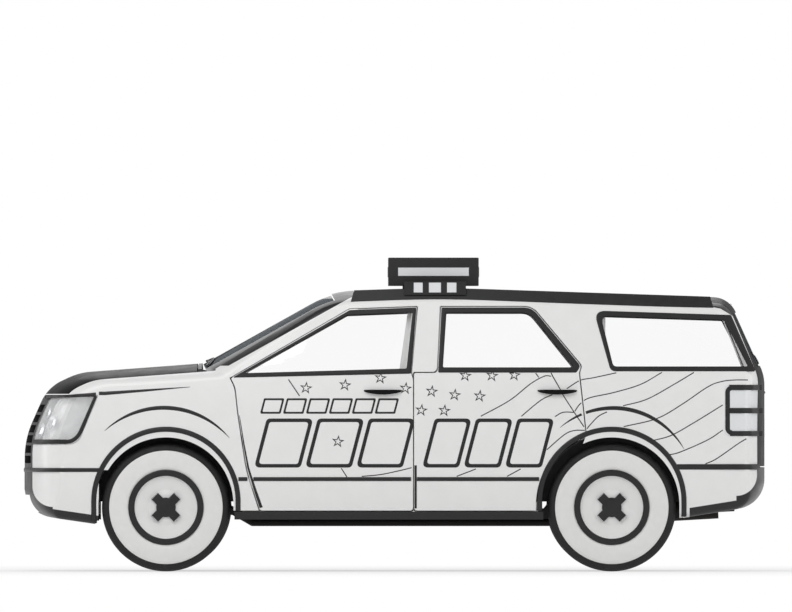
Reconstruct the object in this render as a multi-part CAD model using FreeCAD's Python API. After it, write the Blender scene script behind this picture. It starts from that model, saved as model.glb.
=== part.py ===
"""A full-size police sport utility vehicle, drawn in side view, built as an assembly of separate pieces.

Lengths are in millimetres. +X points forwards, +Y to the vehicle's left, +Z up, and the origin is on
the ground under the middle of the vehicle. The outer skin is one form: the side outline, crowned
across the vehicle, trimmed by the two curved body sides. Every panel is a slice of that form, so that
what meets along a shut line keeps meeting when a size changes.
"""

import FreeCAD
import Part

import math
import os

V = FreeCAD.Vector

# Driving dimensions of the whole vehicle.
length = 5000.0
nose_x = length / 2
tail_x = -length / 2
half_width = 991.0
roof_z = 1912.0
sill_z = 350.0
front_axle_x = 1538.0
rear_axle_x = -1462.0
tyre_radius = 432.0
tyre_width = 245.0
wheel_y = 822.0
rim_radius = 212.0

# Gaps and wall thicknesses.
shut_gap = 8.0
seam = 0.6
seat_gap = 0.5
seal_gap = 6.0
door_flange = 14.0
door_step = 10.0
skin = 25.0
door_wall = 84.0
frame_wall = 45.0
pillar_wall = 92.0
post_wall = 132.0
inner_wall = 150.0
panel_wall = 50.0
lamp_wall = 12.0
glass = 6.0
lens = 8.0

# Wheel openings.
arch_radius = 455.0
arch_z = 448.0
house_radius = 475.0
house_wall = 6.0
house_outer_y = 919.0
front_house_y = 488.0
rear_house_y = 650.0

# Places along the vehicle.
cowl_x = 1302.0
cowl_z = 1402.0
hood_side_y = 868.0
hood_front_z = 1195.0
grille_half = 618.0
lamp_top_z = 1187.0
bumper_top_z = 683.0
door_bottom_z = 411.0
door_split_x = -128.0
belt_z = 1336.0
header_x = 432.0
header_z = 1888.0
floor_z = 425.0
cargo_z = 650.0
bulkhead_x = 1035.0
tailgate_side = 140.0
gate_step = 30.0
rear_bumper_top_z = 700.0

# Roof rails, lamp bar, grille and intake.
corner_radius = 50.0
roof_rear_x = -2095.0
rail_inset = 6.0
rail_width = 40.0
rail_front_x = 330.0
rail_rear_x = -2170.0
bar_x = -262.0
bar_depth = 611.0
bar_height = 187.0
bar_half = 690.0
bar_round = 8.0
foot_x = -273.0
foot_depth = 416.0
foot_half = 560.0
clamp_wall = 8.0
clamp_low_z = 1862.0
clamp_high_z = 1953.0
clamp_lamp_z = 1878.0
CLAMP_LAMPS = [(-190, -129), (-313, -231), (-417, -353)]
grille_slots = 6
grille_bar = 18.0
intake_half = 520.0
intake_z = 395.0
intake_height = 120.0
gate_glass_half = 640.0
GATE_GLASS = [(tail_x + 14, 1395), (tail_x + 186, 1750)]

# Floor, frame and running gear.
floor_half = 813.5
floor_wall = 30.0
frame_front_x = 2398.0
frame_rear_x = -2376.0
heel_x = -985.0
load_half_front = 831.0
load_half_rear = 787.0
gate_floor_half = 550.0
house_cut_z = 470.0
arm_cut_z = 600.0
engine_z = 532.0
hood_hinge_y = 560.0
gate_hinge_y = 430.0
hinge_depth = skin + 3
hinge_height = 70.0
HINGE_HEIGHTS = (560.0, 1010.0)
plate_half = 165.0
plate_height = 130.0
plate_hole_spacing = 178.0
plate_hole_radius = 3.5
front_plate_z = 655.0
rear_plate_z = 1010.0
rail_y = 420.0
CROSS_BEAMS = [(2300, 500), (820, 355), (-300, 355), (-860, 355), (-2350, 530)]
ball_reach = 140.0
kingpin_y = 797.0
kingpin_radius = 20.0
hub_in = 20.0
bead_radius = 241.0
hub_face = 34.0
cap_reach = 109.0
cap_width = 58.0
cap_height = 14.0

# The side outline, from the front lower corner upwards and round: x, z, corner radius, and the share
# of the crown that the edge after the corner takes.
OUTLINE = [
    (nose_x, 390, 200, 2.0),
    (nose_x, 890, 600, 1.6),
    (nose_x - 155, 1240, 380, 1.0),
    (nose_x - 370, 1340, 450, 0.65),
    (cowl_x, cowl_z, 50, 1.0),
    (header_x, header_z, 650, 1.0),
    (-300, roof_z, 9000, 1.0),
    (tail_x + 238, roof_z - 66, 170, 0.9),
    (tail_x, 1319, 300, 0.9),
    (tail_x, 450, 200, 0.0),
    (-1700, 323, 0, 0.0),
    (-1250, sill_z, 0, 0.0),
    (1150, sill_z, 0, 0.0),
    (1800, 288, 0, 0.0),
]
# How far the skin drops from the outline at each distance from the middle of the vehicle.
CROWN = [(0, 0), (480, 16), (720, 44), (860, 82), (950, 140), (1005, 200)]

# The body side: how far inside half_width it lies at each height.
SIDE = [
    (200, 53), (360, 35), (520, 13), (700, 2), (900, 0), (1080, 6), (1230, 18), (1330, 34),
    (1430, 56), (1620, 102), (1800, 146), (1980, 191),
]
SIDE_STATIONS = 10
front_taper = 70.0
rear_taper = 45.0


def offset_corners(corners, drops):
    """The outline's corners with each edge moved inwards by its own drop."""
    lines = []
    for i, (x0, z0, _, _) in enumerate(corners):
        x1, z1 = corners[(i + 1) % len(corners)][:2]
        run = math.hypot(x1 - x0, z1 - z0)
        ux, uz = (x1 - x0) / run, (z1 - z0) / run
        lines.append((x0 - uz * drops[i], z0 + ux * drops[i], ux, uz))
    moved = []
    for i, b in enumerate(lines):
        a = lines[i - 1]
        cross = a[2] * b[3] - a[3] * b[2]
        along = ((b[0] - a[0]) * b[3] - (b[1] - a[1]) * b[2]) / cross
        moved.append((a[0] + along * a[2], a[1] + along * a[3]))
    return moved


def rounded_loop(points, radii, y=0.0):
    """A closed wire of straight runs and tangent arcs through the corners, in the plane at y."""
    ends = []
    for i, p in enumerate(points):
        a, b = points[i - 1], points[(i + 1) % len(points)]
        back = math.hypot(a[0] - p[0], a[1] - p[1])
        ahead = math.hypot(b[0] - p[0], b[1] - p[1])
        u = ((a[0] - p[0]) / back, (a[1] - p[1]) / back)
        w = ((b[0] - p[0]) / ahead, (b[1] - p[1]) / ahead)
        half = math.acos(max(-1.0, min(1.0, u[0] * w[0] + u[1] * w[1]))) / 2
        if radii[i] <= 0:
            ends.append((p, None, p))
            continue
        reach = min(radii[i] / math.tan(half), 0.46 * back, 0.46 * ahead)
        radius = reach * math.tan(half)
        mid = (u[0] + w[0], u[1] + w[1])
        size = math.hypot(*mid)
        depth = radius / math.sin(half) - radius
        ends.append((
            (p[0] + u[0] * reach, p[1] + u[1] * reach),
            (p[0] + mid[0] / size * depth, p[1] + mid[1] / size * depth),
            (p[0] + w[0] * reach, p[1] + w[1] * reach),
        ))
    edges = []
    for i, (start, middle, end) in enumerate(ends):
        here = V(end[0], y, end[1])
        if middle:
            edges.append(Part.Arc(V(start[0], y, start[1]), V(middle[0], y, middle[1]), here).toShape())
        following = ends[(i + 1) % len(ends)][0]
        edges.append(Part.LineSegment(here, V(following[0], y, following[1])).toShape())
    return Part.Wire(edges)


def pillow(inset=0.0):
    """The crowned body, inset on every side but the flat underside."""
    sections = [(-y, drop) for y, drop in reversed(CROWN[1:])] + CROWN
    wires = []
    for y, drop in sections:
        drops = [drop * corner[3] + inset for corner in OUTLINE]
        radii = []
        for i, corner in enumerate(OUTLINE):
            deepest = max(drops[i - 1], drops[i])
            is_cowl = i == 4
            radii.append(corner[2] if is_cowl or not corner[2] else max(corner[2] - 0.6 * deepest, 40))
        wires.append(rounded_loop(offset_corners(OUTLINE, drops), radii, y))
    return Part.makeLoft(wires, True, False)


def taper(x):
    """How much narrower the body is at x than amidships."""
    if x < -1300:
        return rear_taper * ((-1300 - x) / 1200) ** 2
    if x > 1000:
        return front_taper * ((x - 1000) / 1500) ** 2
    return 0.0


def side_drop(z):
    """How far inside half_width the body side lies at a height, by straight lines between its points."""
    for (z0, d0), (z1, d1) in zip(SIDE, SIDE[1:]):
        if z0 <= z <= z1:
            return d0 + (d1 - d0) * (z - z0) / (z1 - z0)
    return SIDE[-1][1]


def side_face(inset):
    """The left body side, moved inwards by inset."""
    step = (length + 400) / (SIDE_STATIONS - 1)
    stations = [-length / 2 - 200 + i * step for i in range(SIDE_STATIONS)]
    grid = [[V(x, half_width - drop - taper(x) - inset, z) for z, drop in SIDE] for x in stations]
    surface = Part.BSplineSurface()
    surface.interpolate(grid)
    return surface.toShape()


def mirrored(shape):
    """The same piece on the right side."""
    return shape.mirror(V(0, 0, 0), V(0, 1, 0))


def slab(outer, inner):
    """The left body side between two depths under its skin."""
    return side_face(outer).extrude(V(0, outer - inner, 0))


def between(inset):
    """Everything that lies further inside both body sides than inset."""
    left = side_face(inset).extrude(V(0, -3 * half_width, 0))
    return left.common(mirrored(left))


def prism(points, y0=0.0, y1=1200.0, radii=None):
    """A side-view outline carried across from y0 to y1."""
    wire = rounded_loop(points, radii or [0] * len(points), y0)
    return Part.Face(wire).extrude(V(0, y1 - y0, 0))


def box(x0, x1, y0, y1, z0, z1):
    return Part.makeBox(x1 - x0, y1 - y0, z1 - z0, V(x0, y0, z0))


def tube_y(x, z, radius, y0, y1):
    return Part.makeCylinder(radius, y1 - y0, V(x, y0, z), V(0, 1, 0))


def grown(points, by):
    """An outline with every edge moved outwards by the same distance."""
    corners = [(x, z, 0, 0) for x, z in points]
    area = sum(
        points[i - 1][0] * points[i][1] - points[i][0] * points[i - 1][1] for i in range(len(points))
    )
    return offset_corners(corners, [-by if area > 0 else by] * len(points))


def fused(shapes):
    """Touching or overlapping solids as one."""
    whole = shapes[0].fuse(shapes[1:]) if len(shapes) > 1 else shapes[0]
    return whole.removeSplitter()


# Side-view outlines of what opens or is glazed, at their outer edges.
door_lean_x = 1070.0
FRONT_DOOR = [
    (905, door_bottom_z), (993, 683), (1050, 1060), (door_lean_x, 1240), (1100, 1300), (303, 1763),
    (-150, 1780), (-110, belt_z), (door_split_x + shut_gap / 2, belt_z - 40),
    (door_split_x + shut_gap / 2, door_bottom_z),
]
FRONT_DOOR_RADII = [20, 900, 900, 300, 8, 45, 10, 60, 60, 20]
rear_arch_cut = 511.0
REAR_DOOR = [
    (door_split_x - shut_gap / 2, door_bottom_z), (door_split_x - shut_gap / 2, belt_z),
    (-291, belt_z), (-313, 1780), (-925, 1780), (-1256, 1384), (-1240, 1340), (-1285, 930),
    (-1100, door_bottom_z),
]
REAR_DOOR_RADII = [20, 12, 30, 10, 120, 45, 60, 10, 0]
FRONT_WINDOW = [(1013, 1333), (320, 1728), (-117, 1745), (-76, 1364)]
FRONT_WINDOW_RADII = [6, 30, 8, 8]
REAR_WINDOW = [(-322, 1371), (-346, 1744), (-912, 1744), (-1206, 1381), (-1186, 1371)]
REAR_WINDOW_RADII = [8, 8, 110, 6, 14]
QUARTER_WINDOW = [(-1470, 1377), (-1385, 1722), (-2222, 1695), (-2385, 1377)]
QUARTER_WINDOW_RADII = [30, 40, 10, 10]
HEADLAMP = [(nose_x + 60, lamp_top_z), (1992, lamp_top_z), (2131, 855), (nose_x + 60, 855)]
HEADLAMP_RADII = [0, 6, 90, 0]
TAIL_LAMP = [(tail_x - 60, 1255), (tail_x - 60, 915), (-2222, 915), (-2222, 1255)]
TAIL_LAMP_RADII = [0, 0, 28, 28]


def door(outline, radii, window, window_radii):
    """A whole side door: an outer flange, the thick lower panel, the thinner window frame and the opening."""
    lower = slab(door_flange, door_wall).common(
        prism([(-2000, 300), (2000, 300), (2000, belt_z), (-2000, belt_z)])
    )
    upper = slab(door_flange, frame_wall).common(
        prism([(-2000, belt_z), (2000, belt_z), (2000, 2100), (-2000, 2100)])
    )
    core = prism(grown(outline, -door_step), 500, 1200, radii)
    flange = slab(0, door_flange).common(prism(outline, 500, 1200, radii))
    panel = fused([lower.common(core), upper.common(core), flange])
    return panel.cut(prism(window, 500, 1200, window_radii))


def window_pane(window, radii):
    """A pane set just under the skin, a hair smaller than its opening."""
    return slab(12, 12 + glass).common(prism(grown(window, -seat_gap), 500, 1200, radii))


def wheel_cutter(x, radius, y0, y1):
    """A wheel opening: round on top and open at the bottom."""
    return fused([tube_y(x, arch_z, radius, y0, y1), box(x - radius, x + radius, y0, y1, 0, arch_z)])


def make_doors(parts):
    front = door(FRONT_DOOR, FRONT_DOOR_RADII, FRONT_WINDOW, FRONT_WINDOW_RADII)
    rear = door(REAR_DOOR, REAR_DOOR_RADII, REAR_WINDOW, REAR_WINDOW_RADII)
    rear = rear.cut(wheel_cutter(rear_axle_x, rear_arch_cut, 500, 1200))
    front_pane = window_pane(FRONT_WINDOW, FRONT_WINDOW_RADII)
    rear_pane = window_pane(REAR_WINDOW, REAR_WINDOW_RADII)
    for side, place in (("left", lambda s: s), ("right", mirrored)):
        parts["door_front_" + side] = place(front)
        parts["door_rear_" + side] = place(rear)
        parts["window_front_" + side] = place(front_pane)
        parts["window_rear_" + side] = place(rear_pane)


def screen_quad(low, high, reach=160.0):
    """The side-view region about a straight stretch of the skin, with square ends."""
    run = math.hypot(high[0] - low[0], high[1] - low[1])
    nx, nz = -(high[1] - low[1]) / run * reach, (high[0] - low[0]) / run * reach
    return [
        (low[0] + nx, low[1] + nz), (high[0] + nx, high[1] + nz),
        (high[0] - nx, high[1] - nz), (low[0] - nx, low[1] - nz),
    ]


def make_side_frames(parts, shells):
    """The whole side structure: pillars, cant rail and rear quarter, with the openings cut."""
    region = [
        (tail_x - 60, rear_bumper_top_z), (-1985, rear_bumper_top_z), (-1985, sill_z), (-1800, 200),
        (-1100, 200), (-960, sill_z), (880, sill_z), (880, 700), (980, 1100), (1080, 1307), (1112, 1307),
        (cowl_x - 20, cowl_z + 2), (cowl_x + 200, 1700), (600, 2100), (tail_x - 60, 2100),
    ]
    form = shells["form"]
    wall = form.common(prism(region, 300, 1200)).cut(between(pillar_wall))
    wall = wall.cut(box(-1020, 1010, 500, 1200, 0, door_bottom_z - shut_gap + seam))
    for outline, radii in ((FRONT_DOOR, FRONT_DOOR_RADII), (REAR_DOOR, REAR_DOOR_RADII)):
        wall = wall.cut(prism(grown(outline, shut_gap), 500, 1200, radii))
    wall = wall.cut(prism(QUARTER_WINDOW, 500, 1200, QUARTER_WINDOW_RADII))
    inside = slab(door_wall + seal_gap, inner_wall).common(form)
    centre_pillar = [
        (door_split_x - 105, sill_z + 4), (door_split_x + 95, sill_z + 4), (-20, belt_z - 60),
        (-95, 1790), (-330, 1790), (-290, belt_z),
    ]
    hinge_pillar = [
        (900, sill_z + 4), (1022, sill_z + 4), (1022, 900), (1200, 1330), (1125, 1330), (1010, 1100),
    ]
    inner_sill = [(-950, sill_z + 4), (1022, sill_z + 4), (1022, 470), (-985, 470)]
    rear_post = [(-1290, 700), (-1180, belt_z), (-1330, 1400), (-1000, 1790), (-1420, 1790), (-1420, 700)]
    cant_rail = [(250, 1770), (-1420, 1770), (-1420, 1850), (250, 1850)]
    pieces = [wall]
    for outline in (centre_pillar, inner_sill, rear_post, hinge_pillar, cant_rail):
        pieces.append(inside.common(prism(outline, 500, 1200)))
    hinges = slab(hinge_depth, inner_wall)
    for outline, radii, low, high in (
        (FRONT_DOOR, FRONT_DOOR_RADII, 905, 1022), (REAR_DOOR, REAR_DOOR_RADII, -210, door_split_x)
    ):
        for z in HINGE_HEIGHTS:
            strap = hinges.common(box(low, high, 500, 1200, z, z + hinge_height))
            pieces.append(strap.cut(prism(grown(outline, seat_gap - door_step), 500, 1200, radii)))
    rear_corner = slab(pillar_wall - 1, post_wall).common(shells["shell_%d" % panel_wall])
    pieces.append(rear_corner.common(box(tail_x - 60, roof_rear_x, 300, 1200, rear_bumper_top_z, 2100)))
    frame = fused(pieces)
    frame = frame.cut(wheel_cutter(rear_axle_x, arch_radius, 500, 1200))
    frame = frame.cut(wheel_cutter(rear_axle_x, house_radius + house_wall + seam, 300, house_outer_y + seam))
    frame = frame.cut(prism(grown(TAIL_LAMP, seam), 500, 1200, TAIL_LAMP_RADII).cut(shells["inner_%d" % panel_wall]))
    frame = frame.cut(shells["roof_cut"])
    parts["side_frame_left"] = frame
    parts["side_frame_right"] = mirrored(frame)


def round_corners(form, radius):
    """The body with its upright corners rounded. The rounding runs on along the shoulders."""
    edges = []
    for edge in form.Edges:
        middle = edge.CenterOfMass
        ends = edge.valueAt(edge.LastParameter) - edge.valueAt(edge.FirstParameter)
        if abs(middle.x) > 2150 and abs(middle.y) > 760 and abs(ends.z) > edge.Length / 2:
            edges.append(edge)
    return form.makeFillet(radius, edges)


def make_shells():
    """The outer form and the shells under it, each named by its depth in millimetres."""
    form = round_corners(pillow().common(between(0)), corner_radius)
    shells = {"form": form}
    for depth in (lens, skin, panel_wall):
        inner = pillow(depth).common(between(depth))
        if depth < skin:
            inner = round_corners(inner, corner_radius - depth)
        shells["inner_%d" % depth] = inner
        shells["shell_%d" % depth] = form.cut(inner)
    return shells


def make_roof(parts, shells):
    """The roof skin between the side frames, its black rails and the lamp bar above it."""
    rise, run = header_z - cowl_z, cowl_x - header_x
    size = math.hypot(rise, run)
    across = (rise / size * 300, run / size * 300)
    region = prism([
        (roof_rear_x + shut_gap, 1650), (header_x + 4 - across[0], header_z - across[1]),
        (header_x + 4 + across[0], header_z + across[1]), (roof_rear_x + shut_gap, 2150),
    ], -1000, 1000)
    shells["roof_cut"] = region.common(between(pillar_wall))
    roof = shells["shell_%d" % panel_wall].common(shells["roof_cut"])
    pieces = [roof]
    for y in (-gate_hinge_y, gate_hinge_y):
        tab = box(roof_rear_x + seat_gap, roof_rear_x + shut_gap + 5, y - 40, y + 40, 1700, 2100)
        pieces.append(tab.common(shells["inner_%d" % lens]).cut(shells["inner_%d" % panel_wall]))
    parts["roof_panel"] = fused(pieces)
    silhouette = prism([p[:2] for p in OUTLINE], 500, 1200, [p[2] for p in OUTLINE])
    rail = slab(rail_inset, rail_inset + rail_width).common(silhouette)
    stretch = [
        (rail_front_x, 1700), (rail_front_x - 120, 2100), (rail_rear_x + 120, 2100), (rail_rear_x, 1700),
    ]
    rail = rail.common(prism(stretch, 500, 1200)).cut(shells["form"])
    parts["roof_rails"] = Part.makeCompound([rail, mirrored(rail)])


def make_light_bar(parts, shells):
    """The lamp bar on its foot, with a clamp at each end that reaches over the roof rail.

    The case has clear windows on all four sides, and each clamp holds three small square lamps.
    """
    x0, x1 = bar_x - bar_depth / 2, bar_x + bar_depth / 2
    z0, z1 = roof_z + 15, roof_z + 15 + bar_height
    case = box(x0, x1, -bar_half, bar_half, z0, z1)
    case = case.makeFillet(bar_round, [e for e in case.Edges if e.CenterOfMass.z > z0 + 1])
    foot = box(bar_x - foot_depth / 2, bar_x + foot_depth / 2, -foot_half, foot_half, roof_z - 60, z0)
    foot = foot.cut(shells["form"])
    foot_parts = sorted(foot.Solids, key=lambda s: s.Volume)
    front, rear = foot_x + foot_depth / 2, foot_x - foot_depth / 2
    face_y = half_width - side_drop(clamp_low_z) - rail_inset + seat_gap
    arm = box(rear, front, bar_half - 40, face_y + clamp_wall, roof_z + seat_gap, clamp_high_z)
    arm = arm.cut(box(rear - 1, front + 1, bar_half, face_y, z0 + clamp_wall, clamp_high_z + 1))
    plate = box(rear, front, face_y, face_y + clamp_wall, clamp_low_z, clamp_high_z)
    clamp = fused([arm, plate])
    lamps = []
    for lamp_rear, lamp_front in CLAMP_LAMPS:
        window = box(lamp_rear, lamp_front, face_y - 1, face_y + clamp_wall + 1,
                     clamp_lamp_z, clamp_high_z - clamp_wall)
        clamp = clamp.cut(window)
        lamps.append(box(lamp_rear + seat_gap, lamp_front - seat_gap, face_y + 1, face_y + clamp_wall - 1,
                         clamp_lamp_z + seat_gap, clamp_high_z - clamp_wall - seat_gap))
    case = fused([case, foot_parts[-1], clamp, mirrored(clamp)])
    band = (z0 + 64, z0 + 119)
    ends = box(x0 + 67, x1 - 68, -bar_half - 1, bar_half + 1, *band)
    faces = box(x0 - 1, x1 + 1, -bar_half + 70, bar_half - 70, *band)
    windows = ends.fuse(faces)
    core = box(x0 + 50, x1 - 50, -bar_half + 50, bar_half - 50, z0, z1)
    cover = case.cut(box(x0 + lens, x1 - lens, -bar_half + lens, bar_half - lens, z0, z1))
    panes = cover.common(windows)
    parts["light_bar"] = case.cut(windows.cut(core))
    lamps += [mirrored(lamp) for lamp in lamps]
    parts["light_bar_lenses"] = Part.makeCompound(panes.Solids + lamps)


def make_nose(parts, shells):
    """The hood, fenders, grille, front bumper and headlamps."""
    hood = shells["shell_%d" % skin].common(
        box(cowl_x + 28, nose_x + 60, -hood_side_y, hood_side_y, hood_front_z, 1600)
    )
    parts["hood"] = hood
    region = [
        (880, door_bottom_z), (1600, door_bottom_z), (1600, bumper_top_z), (nose_x + 60, bumper_top_z),
        (nose_x + 60, 1700), (cowl_x + 200, 1700), (cowl_x - 20, cowl_z + 2), (1112, 1307), (1000, 1230),
        (880, 1000),
    ]
    fender = shells["shell_%d" % skin].common(prism(region, 500, 1200))
    fender = fender.cut(box(1110, nose_x + 60, 0, hood_side_y + shut_gap, hood_front_z - shut_gap, 1700))
    fender = fender.cut(box(1110, nose_x + 60, 0, grille_half + shut_gap, 0, 1700))
    fender = fender.cut(prism(grown(FRONT_DOOR, shut_gap), 500, 1200, FRONT_DOOR_RADII))
    fender = fender.cut(wheel_cutter(front_axle_x, arch_radius, 500, 1200))
    fender = fender.cut(
        wheel_cutter(front_axle_x, house_radius + house_wall + seam, 500, house_outer_y + seam)
    )
    fender = fender.cut(prism(grown(HEADLAMP, seam), grille_half, 1200, HEADLAMP_RADII))
    parts["fender_left"] = fender
    parts["fender_right"] = mirrored(fender)

    lamp = prism(HEADLAMP, grille_half + shut_gap, 1200, HEADLAMP_RADII)
    cover = shells["shell_%d" % lens].common(lamp)
    parts["headlamps"] = Part.makeCompound([cover, mirrored(cover)])
    tray = prism(grown(HEADLAMP, -seam), grille_half + shut_gap + seam, 1200, HEADLAMP_RADII)
    behind = shells["inner_%d" % panel_wall].translated(V(-lamp_wall, -lamp_wall, 0))
    tray = tray.common(shells["inner_%d" % lens]).cut(behind)
    hollow = prism(grown(HEADLAMP, -10), grille_half + shut_gap + 10, 1200, HEADLAMP_RADII)
    tray = tray.cut(hollow.cut(shells["inner_%d" % panel_wall]))
    parts["headlamp_housings"] = Part.makeCompound([tray, mirrored(tray)])

    face = shells["shell_%d" % panel_wall].common(
        box(2000, nose_x + 60, -grille_half, grille_half, bumper_top_z + seam, hood_front_z - shut_gap)
    )
    opening_z = hood_front_z - shut_gap - 45 - bumper_top_z - 45
    pitch = opening_z / grille_slots
    for i in range(grille_slots):
        z = bumper_top_z + 45 + i * pitch
        for side in (-1, 1):
            y0, y1 = sorted((side * 14, side * (grille_half - 45)))
            face = face.cut(box(2000, nose_x + 60, y0, y1, z, z + pitch - grille_bar))
    parts["grille"] = face

    bumper = shells["shell_%d" % panel_wall].common(
        prism([(1990, 200), (nose_x + 60, 200), (nose_x + 60, bumper_top_z), (1990, bumper_top_z)],
              -1200, 1200)
    )
    bumper = bumper.cut(wheel_cutter(front_axle_x, arch_radius, -1200, 1200))
    liner_radius = house_radius + house_wall + seam
    bumper = bumper.cut(
        wheel_cutter(front_axle_x, liner_radius, -house_outer_y - seam, house_outer_y + seam)
    )
    bumper = bumper.cut(box(2200, nose_x + 60, -intake_half, intake_half, intake_z, intake_z + intake_height))
    parts["front_bumper"] = plate_pad(bumper, nose_x - 1, front_plate_z, -1)


def plate_pad(panel, face_x, hole_z, inwards):
    """The panel with a flat pad for a number plate, and its two screw holes."""
    back_x = face_x + inwards * (panel_wall - 12)
    x0, x1 = sorted((face_x, back_x))
    pad = box(x0, x1, -plate_half, plate_half, hole_z - plate_height + 22, hole_z + 22)
    panel = fused([panel, pad])
    for y in (-plate_hole_spacing / 2, plate_hole_spacing / 2):
        hole = Part.makeCylinder(plate_hole_radius, 200, V(face_x - 100, y, hole_z), V(1, 0, 0))
        panel = panel.cut(hole)
    return panel


def make_tail(parts, shells):
    """The tailgate with its glass, the rear bumper and the tail lamps."""
    region = [
        (roof_rear_x, 2100), (tail_x - 60, 2100), (tail_x - 60, rear_bumper_top_z + shut_gap),
        (-2300, rear_bumper_top_z + shut_gap), (-2300, 1500), (roof_rear_x, 1700),
    ]
    region = prism(region, -1000, 1000)
    core = shells["shell_%d" % panel_wall].common(region).common(between(tailgate_side + gate_step))
    flange = shells["shell_%d" % lens].common(region).common(between(tailgate_side))
    gate = fused([core, flange])
    opening = prism(screen_quad(GATE_GLASS[0], GATE_GLASS[1]), -gate_glass_half, gate_glass_half)
    parts["tailgate"] = plate_pad(gate.cut(opening), tail_x + 1, rear_plate_z, 1)
    pane = shells["inner_%d" % lens].cut(pillow(lens + glass)).common(
        prism(grown(screen_quad(GATE_GLASS[0], GATE_GLASS[1]), -seat_gap),
              -gate_glass_half + seat_gap, gate_glass_half - seat_gap)
    )
    parts["tailgate_glass"] = pane.common(box(tail_x - 60, -1900, -1000, 1000, 1300, 2100))

    lamp = prism(TAIL_LAMP, 500, 1200, TAIL_LAMP_RADII).cut(between(post_wall))
    cover = shells["shell_%d" % lens].common(lamp)
    parts["tail_lamps"] = Part.makeCompound([cover, mirrored(cover)])

    bumper = shells["shell_%d" % panel_wall].common(
        box(tail_x - 60, -1985, -1200, 1200, 200, rear_bumper_top_z - seam)
    )
    bumper = bumper.cut(wheel_cutter(rear_axle_x, arch_radius, -1200, 1200))
    liner_radius = house_radius + house_wall + seam
    bumper = bumper.cut(
        wheel_cutter(rear_axle_x, liner_radius, -house_outer_y - seam, house_outer_y + seam)
    )
    bumper = bumper.cut(box(-2330, -1980, -870, 870, 200, rear_bumper_top_z - 70))
    step = shells["form"].common(
        box(tail_x - 60, tail_x + 130, -700, 700, rear_bumper_top_z - 30, rear_bumper_top_z - seam)
    )
    parts["rear_bumper"] = fused([bumper, step])


def make_windscreen(parts, shells):
    """The front screen, and the fixed panes behind the rear doors."""
    screen = pillow(10).cut(pillow(10 + glass)).common(between(pillar_wall + seat_gap))
    low = (cowl_x - 6, cowl_z + 3)
    high = (header_x + 10, header_z - 6)
    parts["windscreen"] = screen.common(prism(screen_quad(low, high), -1000, 1000))
    pane = window_pane(QUARTER_WINDOW, QUARTER_WINDOW_RADII)
    parts["quarter_glasses"] = Part.makeCompound([pane, mirrored(pane)])


def make_floor(parts, shells):
    """The floor, firewall, sill covers and wheelhouses."""
    lower = box(heel_x, bulkhead_x - 30, -floor_half, floor_half, floor_z, floor_z + floor_wall)
    heel = box(heel_x, heel_x + floor_wall, -floor_half, floor_half, floor_z, cargo_z)
    plan = [
        (heel_x + floor_wall, load_half_front), (-1300, load_half_front), (tail_x + 122, load_half_rear),
        (tail_x + 82, gate_floor_half),
    ]
    plan += [(x, -y) for x, y in reversed(plan)]
    wire = Part.makePolygon([V(x, y, cargo_z - floor_wall) for x, y in plan + plan[:1]])
    load = Part.Face(wire).extrude(V(0, 0, floor_wall))
    tunnel = prism([(bulkhead_x - 30, floor_z), (heel_x, floor_z), (heel_x, floor_z + 110),
                    (bulkhead_x - 30, floor_z + 170)], -115, 115)
    hollow = prism([(bulkhead_x, floor_z - 1), (heel_x + 25, floor_z - 1), (heel_x + 25, floor_z + 85),
                    (bulkhead_x, floor_z + 145)], -90, 90)
    floor = fused([lower, heel, load, tunnel]).cut(hollow)
    for side in (1, -1):
        y0, y1 = sorted((side * (rear_house_y - house_wall - seam), side * 1000))
        floor = floor.cut(wheel_cutter(rear_axle_x, house_radius + house_wall + seam, y0, y1))
    parts["floor_pan"] = floor

    wall = prism([
        (bulkhead_x - 29, floor_z), (bulkhead_x, floor_z), (bulkhead_x, 1240), (1170, 1300), (1322, 1300),
        (1322, 1500), (cowl_x + 1, 1500), (cowl_x - 4, 1360), (1140, 1330), (bulkhead_x - 29, 1260),
    ], -1000, 1000)
    wall = wall.common(between(inner_wall + seat_gap)).common(shells["form"])
    pieces = [wall.cut(parts["windscreen"])]
    for y in (-hood_hinge_y, hood_hinge_y):
        tab = box(cowl_x + 15, cowl_x + 28 - seat_gap, y - 30, y + 30, 1250, 1450)
        pieces.append(tab.common(shells["inner_%d" % lens]).cut(shells["inner_%d" % skin]))
    parts["bulkhead"] = fused(pieces)

    trim = slab(0, door_wall).common(box(-1050, 1150, 500, 1200, sill_z, door_bottom_z - shut_gap))
    for x in (front_axle_x, rear_axle_x):
        trim = trim.cut(wheel_cutter(x, arch_radius + 6, 500, 1200))
    parts["sill_trim"] = Part.makeCompound([trim, mirrored(trim)])

    houses = []
    for x, inner_y in ((front_axle_x, front_house_y), (rear_axle_x, rear_house_y)):
        house = tube_y(x, arch_z, house_radius + house_wall, inner_y - house_wall, house_outer_y)
        house = house.cut(tube_y(x, arch_z, house_radius, inner_y, house_outer_y + 1))
        house = house.common(box(x - 600, x + 600, 0, 1000, house_cut_z, 1200))
        house = house.cut(box(x - 190, x + 190, 0, inner_y + 1, 0, arm_cut_z))
        houses += [house, mirrored(house)]
    parts["wheelhouses"] = Part.makeCompound(houses)


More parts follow.
